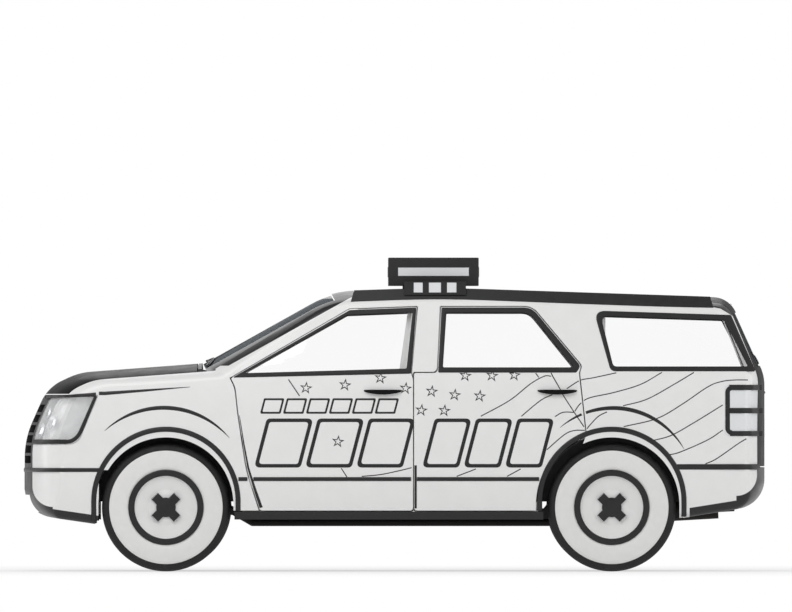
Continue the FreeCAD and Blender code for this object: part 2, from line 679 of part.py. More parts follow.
def make_cabin(parts):
    """The dashboard, steering wheel and seats."""
    back = bulkhead_x - 29 - seat_gap
    dash = prism([(720, 880), (back, 830), (back, 1255), (900, 1275), (740, 1180), (700, 1040)],
                 -780, 780, [40, 0, 0, 60, 60, 60])
    parts["dashboard"] = dash
    wheel = Part.makeTorus(190, 16, V(0, 0, 0), V(0, 0, 1))
    wheel = fused([wheel, Part.makeCylinder(60, 26, V(0, 0, -18)), box(-186, 186, -22, 22, -10, 6)])
    column = Part.makeCylinder(28, 190, V(0, 0, -208))
    wheel = fused([wheel, column])
    wheel.rotate(V(0, 0, 0), V(0, 1, 0), -68)
    wheel.translate(V(545, 380, 1075))
    parts["steering_wheel"] = wheel.cut(dash)

    cushion = prism([(-70, 560), (440, 600), (470, 700), (420, 730), (-70, 690)], 125, 635,
                    [30, 60, 50, 60, 30])
    back = prism([(-75, 600), (60, 690), (-140, 1320), (-270, 1320), (-200, 900)], 125, 635,
                 [30, 20, 50, 50, 300])
    head = prism([(-170, 1290), (-160, 1480), (-270, 1490), (-290, 1290)], 255, 505, [10, 40, 40, 10])
    base = box(-40, 380, 170, 590, floor_z + 30 + seat_gap, 600)
    seat = fused([cushion, back, head, base])
    parts["front_seats"] = Part.makeCompound([seat, mirrored(seat)])

    bench = prism([(-850, 560), (-420, 590), (-390, 690), (-440, 730), (-860, 700)], -640, 640,
                  [10, 50, 50, 50, 10])
    rest = prism([(-850, 600), (-740, 700), (-900, 1330), (-1010, 1330), (-960, 800)], -640, 640,
                 [10, 20, 50, 50, 200])
    plinth = box(-850, -480, -600, 600, floor_z + 132, 620)
    feet = [box(-850, -480, *y, floor_z + 30 + seat_gap, 600) for y in ((200, 600), (-600, -200))]
    parts["rear_bench"] = fused([bench, rest, plinth] + feet)


def pipe(points, radius):
    """A round pipe along straight runs, rounded at each bend."""
    spine = Part.makePolygon([V(*p) for p in points])
    start = Part.Wire([Part.makeCircle(radius, V(*points[0]), V(*points[1]) - V(*points[0]))])
    sweep = Part.BRepOffsetAPI.MakePipeShell(spine)
    sweep.setTransitionMode(2)
    sweep.add(start)
    sweep.build()
    sweep.makeSolid()
    return sweep.shape()


def make_chassis(parts, shells):
    """The frame rails, engine, radiator, tank and exhaust."""
    profile = [
        (frame_front_x, 470), (frame_front_x, 580), (1950, 580), (1080, 421), (-1010, 421),
        (-1160, 619.5), (frame_rear_x, 619.5), (frame_rear_x, 520), (-1920, 540), (-1160, 540), (-1030, sill_z + 2), (860, sill_z + 2), (1900, 470),
    ]
    rail = prism(profile, rail_y - 40, rail_y + 40)
    beams = [box(x, x + 80, -rail_y, rail_y, z, z + 60) for x, z in CROSS_BEAMS]
    mount = box(1460, 1560, 230, rail_y, engine_z - 42, engine_z - seat_gap)
    frame = fused([rail, mirrored(rail), mount, mirrored(mount)] + beams)
    parts["chassis_frame"] = frame
    parts["engine"] = box(1200, 1850, -330, 330, engine_z, engine_z + 548)
    parts["radiator"] = box(2210, 2265, -560, 560, 580 + seat_gap, 1120)
    tank = box(-2250, -1990, -150, rail_y - 45, 460, cargo_z - 30 - seat_gap)
    parts["fuel_tank"] = tank.makeFillet(30, tank.Edges)
    run = pipe([(1190, -200, 460), (960, -200, 327.5), (-1150, -280, 327.5), (-1560, -280, 327.5),
                (-1800, -280, 400), (-2300, -280, 428)], 27)
    silencer = Part.makeCylinder(70, 330, V(-1860, -280, 403.4), V(-1, 0, 0.056))
    parts["exhaust"] = fused([run, silencer])


def make_running_gear(parts):
    """The axles, suspension arms, steering knuckles, rims and tyres."""
    x, z = front_axle_x, tyre_radius
    low, high = z - ball_reach, z + ball_reach
    arms = []
    for height in (low, high):
        arm = prism([(x - 170, height - 12), (x + 170, height - 12), (x + 170, height + 12),
                     (x - 170, height + 12)], rail_y + 42, rail_y + 70)
        wire = Part.makePolygon([
            V(x - 170, rail_y + 42, height - 12), V(x + 170, rail_y + 42, height - 12),
            V(x + 36, kingpin_y - 30, height - 12), V(x + 36, kingpin_y + 36, height - 12),
            V(x - 36, kingpin_y + 36, height - 12), V(x - 36, kingpin_y - 30, height - 12),
            V(x - 170, rail_y + 42, height - 12),
        ])
        plate = Part.Face(wire).extrude(V(0, 0, 24))
        window = Part.makePolygon([
            V(x - 95, rail_y + 80, height - 20), V(x + 95, rail_y + 80, height - 20),
            V(x + 22, kingpin_y - 90, height - 20), V(x - 22, kingpin_y - 90, height - 20),
            V(x - 95, rail_y + 80, height - 20),
        ])
        plate = plate.cut(Part.Face(window).extrude(V(0, 0, 40)))
        hole = Part.makeCylinder(kingpin_radius + seat_gap, 60, V(x, kingpin_y, height - 30))
        arms.append(fused([plate, arm]).cut(hole))
    tower = box(x - 60, x + 60, rail_y + 40 + seat_gap, rail_y + 43, low - 12, high + 12)
    left = fused(arms + [tower])
    cross = box(x - 60, x + 60, -rail_y - 42, rail_y + 42, low - 12, low + 40)
    parts["front_arms"] = fused([left, mirrored(left), cross])

    pin = Part.makeCylinder(kingpin_radius, 2 * ball_reach + 40, V(x, kingpin_y, low - 20))
    block = box(x - 40, x + 40, kingpin_y - 30, kingpin_y + 12, low + 13, high - 13)
    flange = tube_y(x, z, 62, kingpin_y + 10, wheel_y + hub_in - seat_gap)
    steer_arm = box(x - 150, x - 30, kingpin_y - 28, kingpin_y - 8, z - 20, z + 10)
    knuckle = fused([pin, block, flange, steer_arm])
    parts["knuckle_left"] = knuckle
    parts["knuckle_right"] = mirrored(knuckle)

    x = rear_axle_x
    beam = tube_y(x, z, 45, -wheel_y + 40, wheel_y - 40)
    ends = [tube_y(x, z, 62, *y) for y in (
        (wheel_y - 60, wheel_y + hub_in - seat_gap), (-wheel_y - hub_in + seat_gap, 60 - wheel_y))]
    casing = Part.makeSphere(120, V(x, 0, z))
    leaf = prism([(x - 440, 521), (x, 467), (x + 290, 521), (x + 290, 539.5), (x, 487), (x - 440, 539.5)],
                 rail_y - 30, rail_y + 30)
    parts["rear_axle"] = fused([beam, casing, leaf, mirrored(leaf)] + ends)

    half = tyre_width / 2
    tread = [
        (bead_radius, -half + 24), (bead_radius + 12, -half + 24), (bead_radius + 12, -half + 13),
        (bead_radius + 22, -half + 8), (340, -half), (402, -half + 6),
        (426, -half + 26), (tyre_radius, -half + 60), (tyre_radius, half - 60), (426, half - 26),
        (402, half - 6), (340, half), (bead_radius + 22, half - 8), (bead_radius + 12, half - 13),
        (bead_radius + 12, half - 24), (bead_radius, half - 24),
    ]
    tyre = revolved(tread)
    rim = revolved([
        (bead_radius - 14, -half + 6), (bead_radius + 11, -half + 6), (bead_radius + 11, -half + 22),
        (bead_radius - seat_gap, -half + 22), (bead_radius - seat_gap, half - 22),
        (bead_radius + 11, half - 22), (bead_radius + 11, half - 6), (rim_radius, half - 6),
        (rim_radius - 6, half - 26), (120, half - 40), (90, half - hub_face), (0.01, half - hub_face),
        (0.01, hub_in), (75, hub_in), (80, half - 62), (bead_radius - 14, half - 52),
    ])
    rim = fused([rim, hub_cross(half - hub_face)])
    for name, x, y in (("front_left", front_axle_x, wheel_y), ("rear_left", rear_axle_x, wheel_y)):
        for kind, shape in (("tyre_", tyre), ("rim_", rim)):
            placed = shape.copy()
            placed.translate(V(x, y, tyre_radius))
            parts[kind + name] = placed
            parts[kind + name.replace("left", "right")] = mirrored(placed)


def hub_cross(face_y):
    """The cross-shaped hub cap: two bars at 45 degrees over a round boss."""
    pieces = [tube_y(0, 0, cap_width, face_y - 1, face_y + cap_height)]
    for angle in (45, -45):
        bar = box(-cap_reach, cap_reach, face_y - 1, face_y + cap_height, -cap_width / 2, cap_width / 2)
        pieces.append(bar.rotated(V(0, 0, 0), V(0, 1, 0), angle))
    return fused(pieces)


def revolved(profile):
    """A wheel piece from its half section: radius, and distance outwards along the axle."""
    wire = Part.makePolygon([V(r, y, 0) for r, y in profile + profile[:1]])
    return Part.Face(wire).revolve(V(0, 0, 0), V(0, 1, 0), 360)


def build():
    """Every piece, by the name of its node."""
    parts = {}
    shells = make_shells()
    make_roof(parts, shells)
    make_side_frames(parts, shells)
    make_doors(parts)
    make_nose(parts, shells)
    make_tail(parts, shells)
    make_windscreen(parts, shells)
    make_floor(parts, shells)
    make_light_bar(parts, shells)
    make_cabin(parts)
    make_chassis(parts, shells)
    make_running_gear(parts)
    return parts


os.makedirs("parts", exist_ok=True)
for name, shape in build().items():
    shape.exportStep("parts/" + name + ".step")
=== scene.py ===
# %% [markdown]
# # A police sport utility vehicle, dressed round its CAD frame
#
# The vehicle is drawn in plain black and white: white panels, black trim, clear glass. The CAD model
# already has every panel, joint and wall, so this script adds what a body shop and a trimmer would
# add: paint, window seals, mouldings, tread, lamp reflectors, seats and the printed pattern on the
# side. First the frame is loaded. Nothing here may grow past it.

# %% Load the frame
import math

import bmesh
import bpy
import numpy as np
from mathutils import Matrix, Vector
from mathutils.bvhtree import BVHTree


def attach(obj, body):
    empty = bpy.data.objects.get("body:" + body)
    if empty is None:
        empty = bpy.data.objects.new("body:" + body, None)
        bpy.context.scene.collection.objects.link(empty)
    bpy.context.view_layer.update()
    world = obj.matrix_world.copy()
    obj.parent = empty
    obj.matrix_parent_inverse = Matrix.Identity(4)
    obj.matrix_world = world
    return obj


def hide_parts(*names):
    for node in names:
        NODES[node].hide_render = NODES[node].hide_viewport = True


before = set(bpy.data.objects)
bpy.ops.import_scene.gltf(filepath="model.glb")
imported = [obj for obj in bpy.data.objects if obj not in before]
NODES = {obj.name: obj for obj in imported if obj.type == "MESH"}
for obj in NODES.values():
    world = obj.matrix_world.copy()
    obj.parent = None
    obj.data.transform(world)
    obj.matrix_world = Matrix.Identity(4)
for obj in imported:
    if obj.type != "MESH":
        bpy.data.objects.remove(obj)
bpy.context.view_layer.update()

# %% [markdown]
# ## Sizes
#
# These are the same values, in metres, that the CAD model uses: +X is forwards, +Y is the vehicle's
# left, +Z is up, and the ground is at 0. Everything below is placed from them, so a moulding or a
# seal lands on the edge that it belongs to.

# %% The vehicle's main sizes
FRONT_AXLE_X, REAR_AXLE_X = 1.538, -1.462
WHEEL_Z, WHEEL_Y = 0.432, 0.822
TYRE_RADIUS, TYRE_HALF_WIDTH = 0.432, 0.1225
SIDES = (("left", 1), ("right", -1))

# %% [markdown]
# ## Materials
#
# Each finish starts from the real thing. Colours are written as sRGB hex, the way a paint chart gives
# them, and one function turns them into the linear values that the renderer works in.

# %% Colour and node helpers
def paint(hex_code):
    """An sRGB hex colour as linear red, green, blue and alpha."""
    srgb = np.array([int(hex_code[i:i + 2], 16) / 255 for i in (1, 3, 5)])
    linear = np.where(srgb <= 0.04045, srgb / 12.92, ((srgb + 0.055) / 1.055) ** 2.4)
    return (*linear.tolist(), 1.0)


def join(source, target):
    """Links an output socket to an input of the same node tree."""
    target.id_data.links.new(source, target)


def add_node(material, kind, settings=None, inputs=(), **links):
    """Adds one node. settings are its properties or socket values. inputs, in order, are numbers or
    sockets to join, and links name the inputs that they join."""
    node = material.node_tree.nodes.new(kind)
    for name, value in (settings or {}).items():
        if name in node.inputs:
            node.inputs[name].default_value = value
        else:
            setattr(node, name, value)
    for place, value in zip(node.inputs, inputs):
        if isinstance(value, bpy.types.NodeSocket):
            join(value, place)
        else:
            place.default_value = value
    for name, source in links.items():
        join(source, node.inputs[name.replace("_", " ")])
    return node


def new_material(name, **shader):
    """A material whose Principled shader has the given socket values."""
    material = bpy.data.materials.new(name)
    material.use_nodes = True
    surface = material.node_tree.nodes["Principled BSDF"]
    for socket, value in shader.items():
        surface.inputs[socket.replace("_", " ")].default_value = value
    return material, surface


def object_point(material, scale=(1, 1, 1)):
    """A socket of the object coordinates, in metres, stretched by scale."""
    place = add_node(material, "ShaderNodeTexCoord").outputs["Object"]
    return add_node(material, "ShaderNodeMapping", {"Scale": scale}, Vector=place).outputs["Vector"]


def ramp(material, source, low, high, low_value, high_value):
    """A socket that carries the range low to high of source to low_value to high_value."""
    limits = {"From Min": low, "From Max": high, "To Min": low_value, "To Max": high_value}
    return add_node(material, "ShaderNodeMapRange", limits, Value=source).outputs["Result"]


def roughen(material, surface, size, low, high, stretch=(1, 1, 1)):
    """Lets the roughness wander between low and high in patches of about size metres."""
    noise = add_node(material, "ShaderNodeTexNoise", {"Scale": 1 / size, "Detail": 3.0},
                     Vector=object_point(material, stretch))
    join(ramp(material, noise.outputs["Fac"], 0.3, 0.7, low, high), surface.inputs["Roughness"])
    return noise


def grain(material, surface, size, depth, stretch=(1, 1, 1), kind="ShaderNodeTexNoise"):
    """A fine relief of about size metres across and depth metres high."""
    pattern = add_node(material, kind, {"Scale": 1 / size}, Vector=object_point(material, stretch))
    height = pattern.outputs["Fac"] if "Fac" in pattern.outputs else pattern.outputs["Distance"]
    bump = add_node(material, "ShaderNodeBump", {"Distance": depth, "Strength": 1.0}, Height=height)
    join(bump.outputs["Normal"], surface.inputs["Normal"])
    return pattern


def tint(material, surface, source, dark, light, low=0.35, high=0.65):
    """Mixes two close shades of the base colour by a pattern."""
    mix = add_node(material, "ShaderNodeMix", {"data_type": "RGBA"})
    mix.inputs[6].default_value = paint(dark)
    mix.inputs[7].default_value = paint(light)
    join(ramp(material, source, low, high, 0.0, 1.0), mix.inputs[0])
    join(mix.outputs[2], surface.inputs["Base Color"])


# %% [markdown]
# ### Paint
#
# Car paint is a coloured coat under a hard, glossy clear coat. The clear coat gives the sharp
# reflection and the base gives the soft shading, so the shader has a fairly rough base and a smooth
# coat. Under a real clear coat there is orange peel: a ripple about 5 mm long and a few
# thousandths of a millimetre high.

# %% White and black body paint
def two_shades(name, dark, light, low, high, patch, size, depth, stretch=(1, 1, 1),
               kind="ShaderNodeTexNoise", **shader):
    """Two close shades and a roughness from low to high, in patches, under a fine relief."""
    material, surface = new_material(name, **shader)
    noise = roughen(material, surface, patch, low, high, stretch)
    tint(material, surface, noise.outputs["Fac"], dark, light)
    grain(material, surface, size, depth, stretch, kind)
    return material


def body_paint(name, dark, light, roughness, coat, gloss=0.5):
    return two_shades(name, dark, light, roughness - 0.05, roughness + 0.05, 0.12, 0.006, 0.00001,
                      Coat_Weight=coat, Coat_Roughness=0.08, Coat_IOR=1.5, Specular_IOR_Level=gloss)


WHITE_SHADES, WHITE_ROUGHNESS = ("#ECECEB", "#EEEEED"), 0.42
WHITE_COAT, BLACK_COAT = 0.45, 0.06
WHITE_PAINT = body_paint("white_clearcoat_paint", *WHITE_SHADES, WHITE_ROUGHNESS, WHITE_COAT)
BLACK_PAINT = body_paint("black_satin_paint", "#08080A", "#0C0C0D", 0.5, 0.04, gloss=0.12)
WHEEL_ENAMEL = body_paint("white_wheel_enamel", "#E6E6E5", "#E9E9E8", 0.38, 0.4)

# %% [markdown]
# Some panels are sprayed in two colours: a masked edge parts the white from the black on the bumpers,
# along the windscreen pillar and on the roof. The mask is worked out from the side view's x and z,
# which the object coordinates give: a half plane is one line's equation, a rounded corner is a
# distance, and the larger or smaller of two masks joins or cuts them.

# %% Two-colour panels
EDGE_SOFTNESS = 0.001


def side_view(material):
    """Sockets of x, z and the flattened point (x, 0, z) of the object coordinates."""
    place = add_node(material, "ShaderNodeTexCoord")
    split = add_node(material, "ShaderNodeSeparateXYZ", Vector=place.outputs["Object"])
    flat = add_node(material, "ShaderNodeCombineXYZ", inputs=[split.outputs["X"], 0.0, split.outputs["Z"]])
    return split.outputs["X"], split.outputs["Z"], flat.outputs["Vector"]


def half_plane(material, view, point, heading_deg):
    """1 past the line through point that faces heading: (x - px) cos h + (z - pz) sin h > 0."""
    c, s = math.cos(math.radians(heading_deg)), math.sin(math.radians(heading_deg))
    across = add_node(material, "ShaderNodeMath", {"operation": "MULTIPLY_ADD"},
                      [view[0], c, -c * point[0] - s * point[1]])
    reach = add_node(material, "ShaderNodeMath", {"operation": "MULTIPLY_ADD"},
                     [view[1], s, across.outputs["Value"]])
    return ramp(material, reach.outputs["Value"], -EDGE_SOFTNESS, EDGE_SOFTNESS, 0.0, 1.0)


def outside_circle(material, view, centre, radius):
    """1 where a point of the side view lies further than radius from centre."""
    gap = add_node(material, "ShaderNodeVectorMath", {"operation": "DISTANCE"},
                   [view[2], (centre[0], 0.0, centre[1])])
    return ramp(material, gap.outputs["Value"], radius - EDGE_SOFTNESS, radius + EDGE_SOFTNESS, 0.0, 1.0)


def combined(material, operation, masks):
    """Several masks as one: MAXIMUM is either, MINIMUM and MULTIPLY are both."""
    joined = masks[0]
    for mask in masks[1:]:
        node = add_node(material, "ShaderNodeMath", {"operation": operation}, [joined, mask])
        joined = node.outputs["Value"]
    return joined


def two_colour(name, mask_of):
    """White paint that turns black where mask_of(material, view) is 1."""
    material = body_paint(name, *WHITE_SHADES, WHITE_ROUGHNESS, WHITE_COAT)
    surface = material.node_tree.nodes["Principled BSDF"]
    colour = surface.inputs["Base Color"]
    mask = mask_of(material, side_view(material))
    mix = add_node(material, "ShaderNodeMix", {"data_type": "RGBA"})
    mix.inputs[7].default_value = paint("#0C0C0D")
    join(mask, mix.inputs[0])
    join(colour.links[0].from_socket, mix.inputs[6])
    join(mix.outputs[2], colour)
    join(ramp(material, mask, 0.0, 1.0, WHITE_COAT, BLACK_COAT), surface.inputs["Coat Weight"])
    return material


VALANCE_RADIUS = 0.140


def valance(end, low_point, rise, corner, face_x):
    """Black below a line that rises outwards, outside the lower curve, and across the nose or tail.

    end is 1 for the nose and -1 for the tail, and corner is the centre of the lower curve.
    """
    outwards = 0.0 if end > 0 else 180.0
    slope_deg = end * math.degrees(math.atan(rise))

    def mask(material, view):
        rounded = combined(material, "MINIMUM", [
            half_plane(material, view, corner, outwards), half_plane(material, view, corner, -90.0),
            outside_circle(material, view, corner, VALANCE_RADIUS)])
        return combined(material, "MAXIMUM", [
            half_plane(material, view, low_point, slope_deg - 90.0), rounded,
            half_plane(material, view, (face_x, 0.0), outwards)])
    return mask


def header_band(material, view):
    """Black ahead of a line that leans like the front ends of the roof rails."""
    return half_plane(material, view, (0.268, 1.850), -12.0)


# The windscreen's middle line, how far below it the black begins and ends, and where the cowl ends it.
COWL, HEADER = np.array([1.302, 1.402]), np.array([0.432, 1.888])
PILLAR_BAND, COWL_Z = (-0.005, 0.105), 1.385
# The roof's rear corner is black above two lines through one point, the second one steeper.
ROOF_CORNER, CORNER_SLOPES, CORNER_X = (-2.196, 1.769), (0.198, 0.600), -2.110


def pillar_band(material, view):
    """Black along the windscreen pillar, and on the roof's rear corner."""
    run = (HEADER - COWL) / np.linalg.norm(HEADER - COWL)
    below = np.array([-run[1], run[0]])
    heading = math.degrees(math.atan2(below[1], below[0]))
    front = combined(material, "MINIMUM", [
        half_plane(material, view, COWL + below * PILLAR_BAND[0], heading),
        half_plane(material, view, COWL + below * PILLAR_BAND[1], heading + 180.0),
        half_plane(material, view, (0.0, COWL_Z), 90.0)])
    above = combined(material, "MAXIMUM", [
        half_plane(material, view, ROOF_CORNER, 90.0 + math.degrees(math.atan(slope)))
        for slope in CORNER_SLOPES])
    rear = combined(material, "MINIMUM", [above, half_plane(material, view, (CORNER_X, 0.0), 180.0)])
    return combined(material, "MAXIMUM", [front, rear])


BORDER_FADE = 0.006


def printed_border(base, half_width, low_z, high_z):
    """The baked black border of a laminated pane: enamel where |y| or z is past the clear field."""
    material = base.copy()
    material.name = "smoke_grey_glass_black_border"
    place = add_node(material, "ShaderNodeTexCoord")
    split = add_node(material, "ShaderNodeSeparateXYZ", Vector=place.outputs["Object"])
    aside = add_node(material, "ShaderNodeMath", {"operation": "ABSOLUTE"}, [split.outputs["Y"]])
    edges = [(aside.outputs["Value"], half_width, BORDER_FADE), (split.outputs["Z"], low_z, -BORDER_FADE),
             (split.outputs["Z"], high_z, BORDER_FADE)]
    border = combined(material, "MAXIMUM", [
        ramp(material, source, edge, edge + fade, 0, 1) for source, edge, fade in edges])
    enamel = add_node(material, "ShaderNodeBsdfPrincipled",
                      {"Base Color": paint("#0A0A0B"), "Roughness": 0.35})
    output = material.node_tree.nodes["Material Output"].inputs["Surface"]
    mixed = add_node(material, "ShaderNodeMixShader",
                     inputs=[border, output.links[0].from_socket, enamel.outputs["BSDF"]])
    join(mixed.outputs["Shader"], output)
    return material


FRONT_BUMPER_PAINT = two_colour("white_paint_black_front_valance",
                                valance(1, (1.800, 0.348), 0.1457, (2.300, 0.575), 2.440))
REAR_BUMPER_PAINT = two_colour("white_paint_black_rear_valance",
                               valance(-1, (-1.700, 0.383), 0.159, (-2.300, 0.650), -2.440))
SIDE_FRAME_PAINT = two_colour("white_paint_black_pillar", pillar_band)
ROOF_PAINT = two_colour("white_paint_black_header", header_band)

# %% [markdown]
# ### Moulded plastic and rubber
#
# The grille, rails, lamp bar and mouldings are black ABS and the window seals are EPDM rubber, with a
# fine leather-like grain of about 1 mm, which breaks up the highlight. The grain is drawn at 2 mm so
# that it shows. Lamp trays and dashboard are the same kind of plastic in white and grey. Tyre rubber
# is duller, and its white band is a second compound cured into the side wall.

# %% Plastics, seal rubber and tyre rubber
def moulded(name, dark, light, low, high, size, depth):
    return two_shades(name, dark, light, low, high, 0.05, size, depth, kind="ShaderNodeTexVoronoi", IOR=1.5)


TRIM_PLASTIC = moulded("black_grained_abs", "#0D0D0E", "#141415", 0.38, 0.5, 0.002, 0.00008)
SEAL_RUBBER = moulded("black_seal_rubber", "#09090A", "#0E0E0F", 0.42, 0.55, 0.003, 0.00004)
TYRE_RUBBER = moulded("black_tyre_rubber", "#0C0C0C", "#131313", 0.6, 0.75, 0.004, 0.0001)
WHITEWALL = moulded("white_sidewall_rubber", "#E6E6E4", "#E9E9E7", 0.5, 0.62, 0.004, 0.00006)
DASH_PLASTIC = moulded("grey_soft_dashboard", "#85878A", "#8F9194", 0.55, 0.7, 0.0025, 0.0001)
LAMP_TRAY = moulded("white_lamp_tray", "#E4E4E4", "#EEEEEE", 0.2, 0.3, 0.004, 0.00001)
DARK_DASH = moulded("dark_soft_dashboard", "#3A3B3E", "#434548", 0.5, 0.65, 0.0025, 0.0001)

# %% [markdown]
# ### Steel, iron, alloy and carpet
#
# Under the body are parts that nobody polishes: black chassis paint, a cast engine block, sheet steel
# and an aluminium radiator. The cast surface has a coarse grain, the chassis paint is dull and dusty.

# %% Metals and the floor covering
def metal(name, dark, light, metallic, low, high, size, depth, stretch=(1, 1, 1)):
    return two_shades(name, dark, light, low, high, 0.03, size, depth, stretch, Metallic=metallic)


CHASSIS_PAINT = metal("black_chassis_paint", "#161616", "#202020", 0.0, 0.5, 0.7, 0.006, 0.0002)
CAST_IRON = metal("cast_iron", "#4A4A48", "#5A5955", 0.9, 0.55, 0.75, 0.003, 0.0004)
SHEET_STEEL = metal("plain_sheet_steel", "#85837E", "#96948F", 1.0, 0.35, 0.5, 0.004, 0.0001)
SCALED_STEEL = metal("heat_scaled_steel", "#242322", "#302E2C", 0.8, 0.6, 0.8, 0.004, 0.0002)
# The radiator core is coloured darker than bare aluminium: painted shade for the shadow behind the grille.
RADIATOR_SHADED_ALLOY = metal("radiator_aluminium_painted_shade", "#4A4C4E", "#585A5D", 0.9, 0.45, 0.6, 0.003, 0.0001, (1, 1, 8))
BRIGHT = metal("lamp_reflector_aluminium", "#E2E4E6", "#F0F1F2", 1.0, 0.05, 0.12, 0.02, 0.00002)


def carpet_pile():
    """Loop-pile carpet: tufts about 3 mm apart."""
    material, surface = new_material("grey_loop_carpet", Roughness=0.95, Sheen_Weight=0.3)
    pattern = grain(material, surface, 0.003, 0.0004, kind="ShaderNodeTexVoronoi")
    tint(material, surface, pattern.outputs["Distance"], "#5C5D60", "#6A6B6E", 0.1, 0.6)
    return material


CARPET = carpet_pile()


def seat_cloth():
    """Woven cloth: two sine waves at right angles, 4 mm apart so that the weave shows."""
    material, surface = new_material("grey_woven_seat_cloth", Roughness=0.85, Sheen_Weight=0.4)
    point = object_point(material)
    waves = [add_node(material, "ShaderNodeTexWave",
                      {"bands_direction": axis, "Scale": 80.0, "Distortion": 0.6, "Detail": 1.0},
                      Vector=point).outputs["Fac"] for axis in ("X", "Z")]
    weave = combined(material, "MULTIPLY", waves)
    bump = add_node(material, "ShaderNodeBump", {"Distance": 0.0006}, Height=weave)
    join(bump.outputs["Normal"], surface.inputs["Normal"])
    tint(material, surface, weave, "#A6A8AC", "#BEC0C4", 0.1, 0.8)
    return material


SEAT_CLOTH = seat_cloth()

# %% [markdown]
# ### Glass and lenses
#
# Toughened glass is clear with an IOR of 1.5. A pane here is thin, so light passes nearly straight:
# the shader mixes a plain transparent surface with a glossy one by Fresnel, which also keeps the
# cabin bright. Only faces that look outwards shine: light isn't bent here, so from inside the pane a
# Fresnel share would turn it into a mirror. Lamp lenses are moulded polycarbonate, a touch whiter.

# %% Clear panes and lenses
def clear_pane(name, colour, gloss_roughness, haze, shine_colour="#FFFFFF"):
    material = bpy.data.materials.new(name)
    material.use_nodes = True
    tree = material.node_tree
    tree.nodes.remove(tree.nodes["Principled BSDF"])
    through = add_node(material, "ShaderNodeBsdfTransparent", {"Color": paint(colour)})
    body = add_node(material, "ShaderNodeBsdfDiffuse", {"Color": paint("#F4F6F8")})
    shine = add_node(material, "ShaderNodeBsdfGlossy",
                     {"Roughness": gloss_roughness, "Color": paint(shine_colour)})
    fresnel = add_node(material, "ShaderNodeFresnel", {"IOR": 1.5})
    facing = add_node(material, "ShaderNodeNewGeometry")
    outer = add_node(material, "ShaderNodeMath", {"operation": "SUBTRACT"},
                     [1.0, facing.outputs["Backfacing"]])
    edge = combined(material, "MULTIPLY", [fresnel.outputs["Fac"], outer.outputs["Value"]])
    veil = add_node(material, "ShaderNodeMixShader",
                    inputs=[haze, through.outputs["BSDF"], body.outputs["BSDF"]])
    pane = add_node(material, "ShaderNodeMixShader",
                    inputs=[edge, veil.outputs["Shader"], shine.outputs["BSDF"]])
    join(pane.outputs["Shader"], tree.nodes["Material Output"].inputs["Surface"])
    return material


WINDOW_GLASS = clear_pane("clear_toughened_glass", "#FFFFFF", 0.02, 0.0)
SMOKED_GLASS = clear_pane("smoke_grey_laminated_glass", "#C4C8CA", 0.02, 0.0, "#5A5D60")
CLEAR_LENS = clear_pane("clear_polycarbonate_lens", "#FEFEFE", 0.03, 0.12)
LAMP_LENS = clear_pane("white_diffusing_lens", "#FFFFFF", 0.12, 0.85)

BORDERED_GLASS = printed_border(SMOKED_GLASS, 0.680, 1.375, 1.835)

# %% Give every CAD node its material
NODE_FINISH = [
    (ROOF_PAINT, "roof_panel"),
    (WHITE_PAINT, "fender_left fender_right "
                  "door_front_left door_front_right door_rear_left door_rear_right"),
    (SIDE_FRAME_PAINT, "side_frame_left side_frame_right"),
    (FRONT_BUMPER_PAINT, "front_bumper"),
    (REAR_BUMPER_PAINT, "rear_bumper"),
    (LAMP_TRAY, "headlamp_housings"),
    (BLACK_PAINT, "hood tailgate"),
    (TRIM_PLASTIC, "grille roof_rails light_bar sill_trim wheelhouses steering_wheel bulkhead"),
    (DASH_PLASTIC, "dashboard"),
    (WINDOW_GLASS, "quarter_glasses window_front_left window_front_right window_rear_left "
                   "window_rear_right"),
    (SMOKED_GLASS, "tailgate_glass"),
    (BORDERED_GLASS, "windscreen"),
    (CLEAR_LENS, "headlamps"),
    (LAMP_LENS, "tail_lamps light_bar_lenses"),
    (SEAT_CLOTH, "front_seats rear_bench"),
    (CHASSIS_PAINT, "chassis_frame front_arms knuckle_left knuckle_right rear_axle"),
    (CARPET, "floor_pan"),
    (CAST_IRON, "engine"),
    (RADIATOR_SHADED_ALLOY, "radiator"),
    (SCALED_STEEL, "exhaust"),
    (SHEET_STEEL, "fuel_tank"),
    (TYRE_RUBBER, "tyre_front_left tyre_front_right tyre_rear_left tyre_rear_right"),
    (WHEEL_ENAMEL, "rim_front_left rim_front_right rim_rear_left rim_rear_right"),
]
for material, names in NODE_FINISH:
    for name in names.split():
        slots = NODES[name].data.materials
        slots.clear()
        slots.append(material)
print("finished nodes:", sum(len(names.split()) for _, names in NODE_FINISH))

# %% [markdown]
# ## Pieces
#
# Every new piece is one mesh whose place is in its points, with its object left at the origin. It
# rides on the CAD body that carries it, so a seal on a door swings with that door.

# %% Make a piece from grids of points
COUNT = {"pieces": 0, "quads": 0}


def capped(*grids):
    """Grids that close round their columns, with a cap on the first and the last row."""
    return [(grid, False, True, True) for grid in grids]


def looped(*grids):
    """Grids that close both ways, as a ring does."""
    return [(grid, True, True, False) for grid in grids]


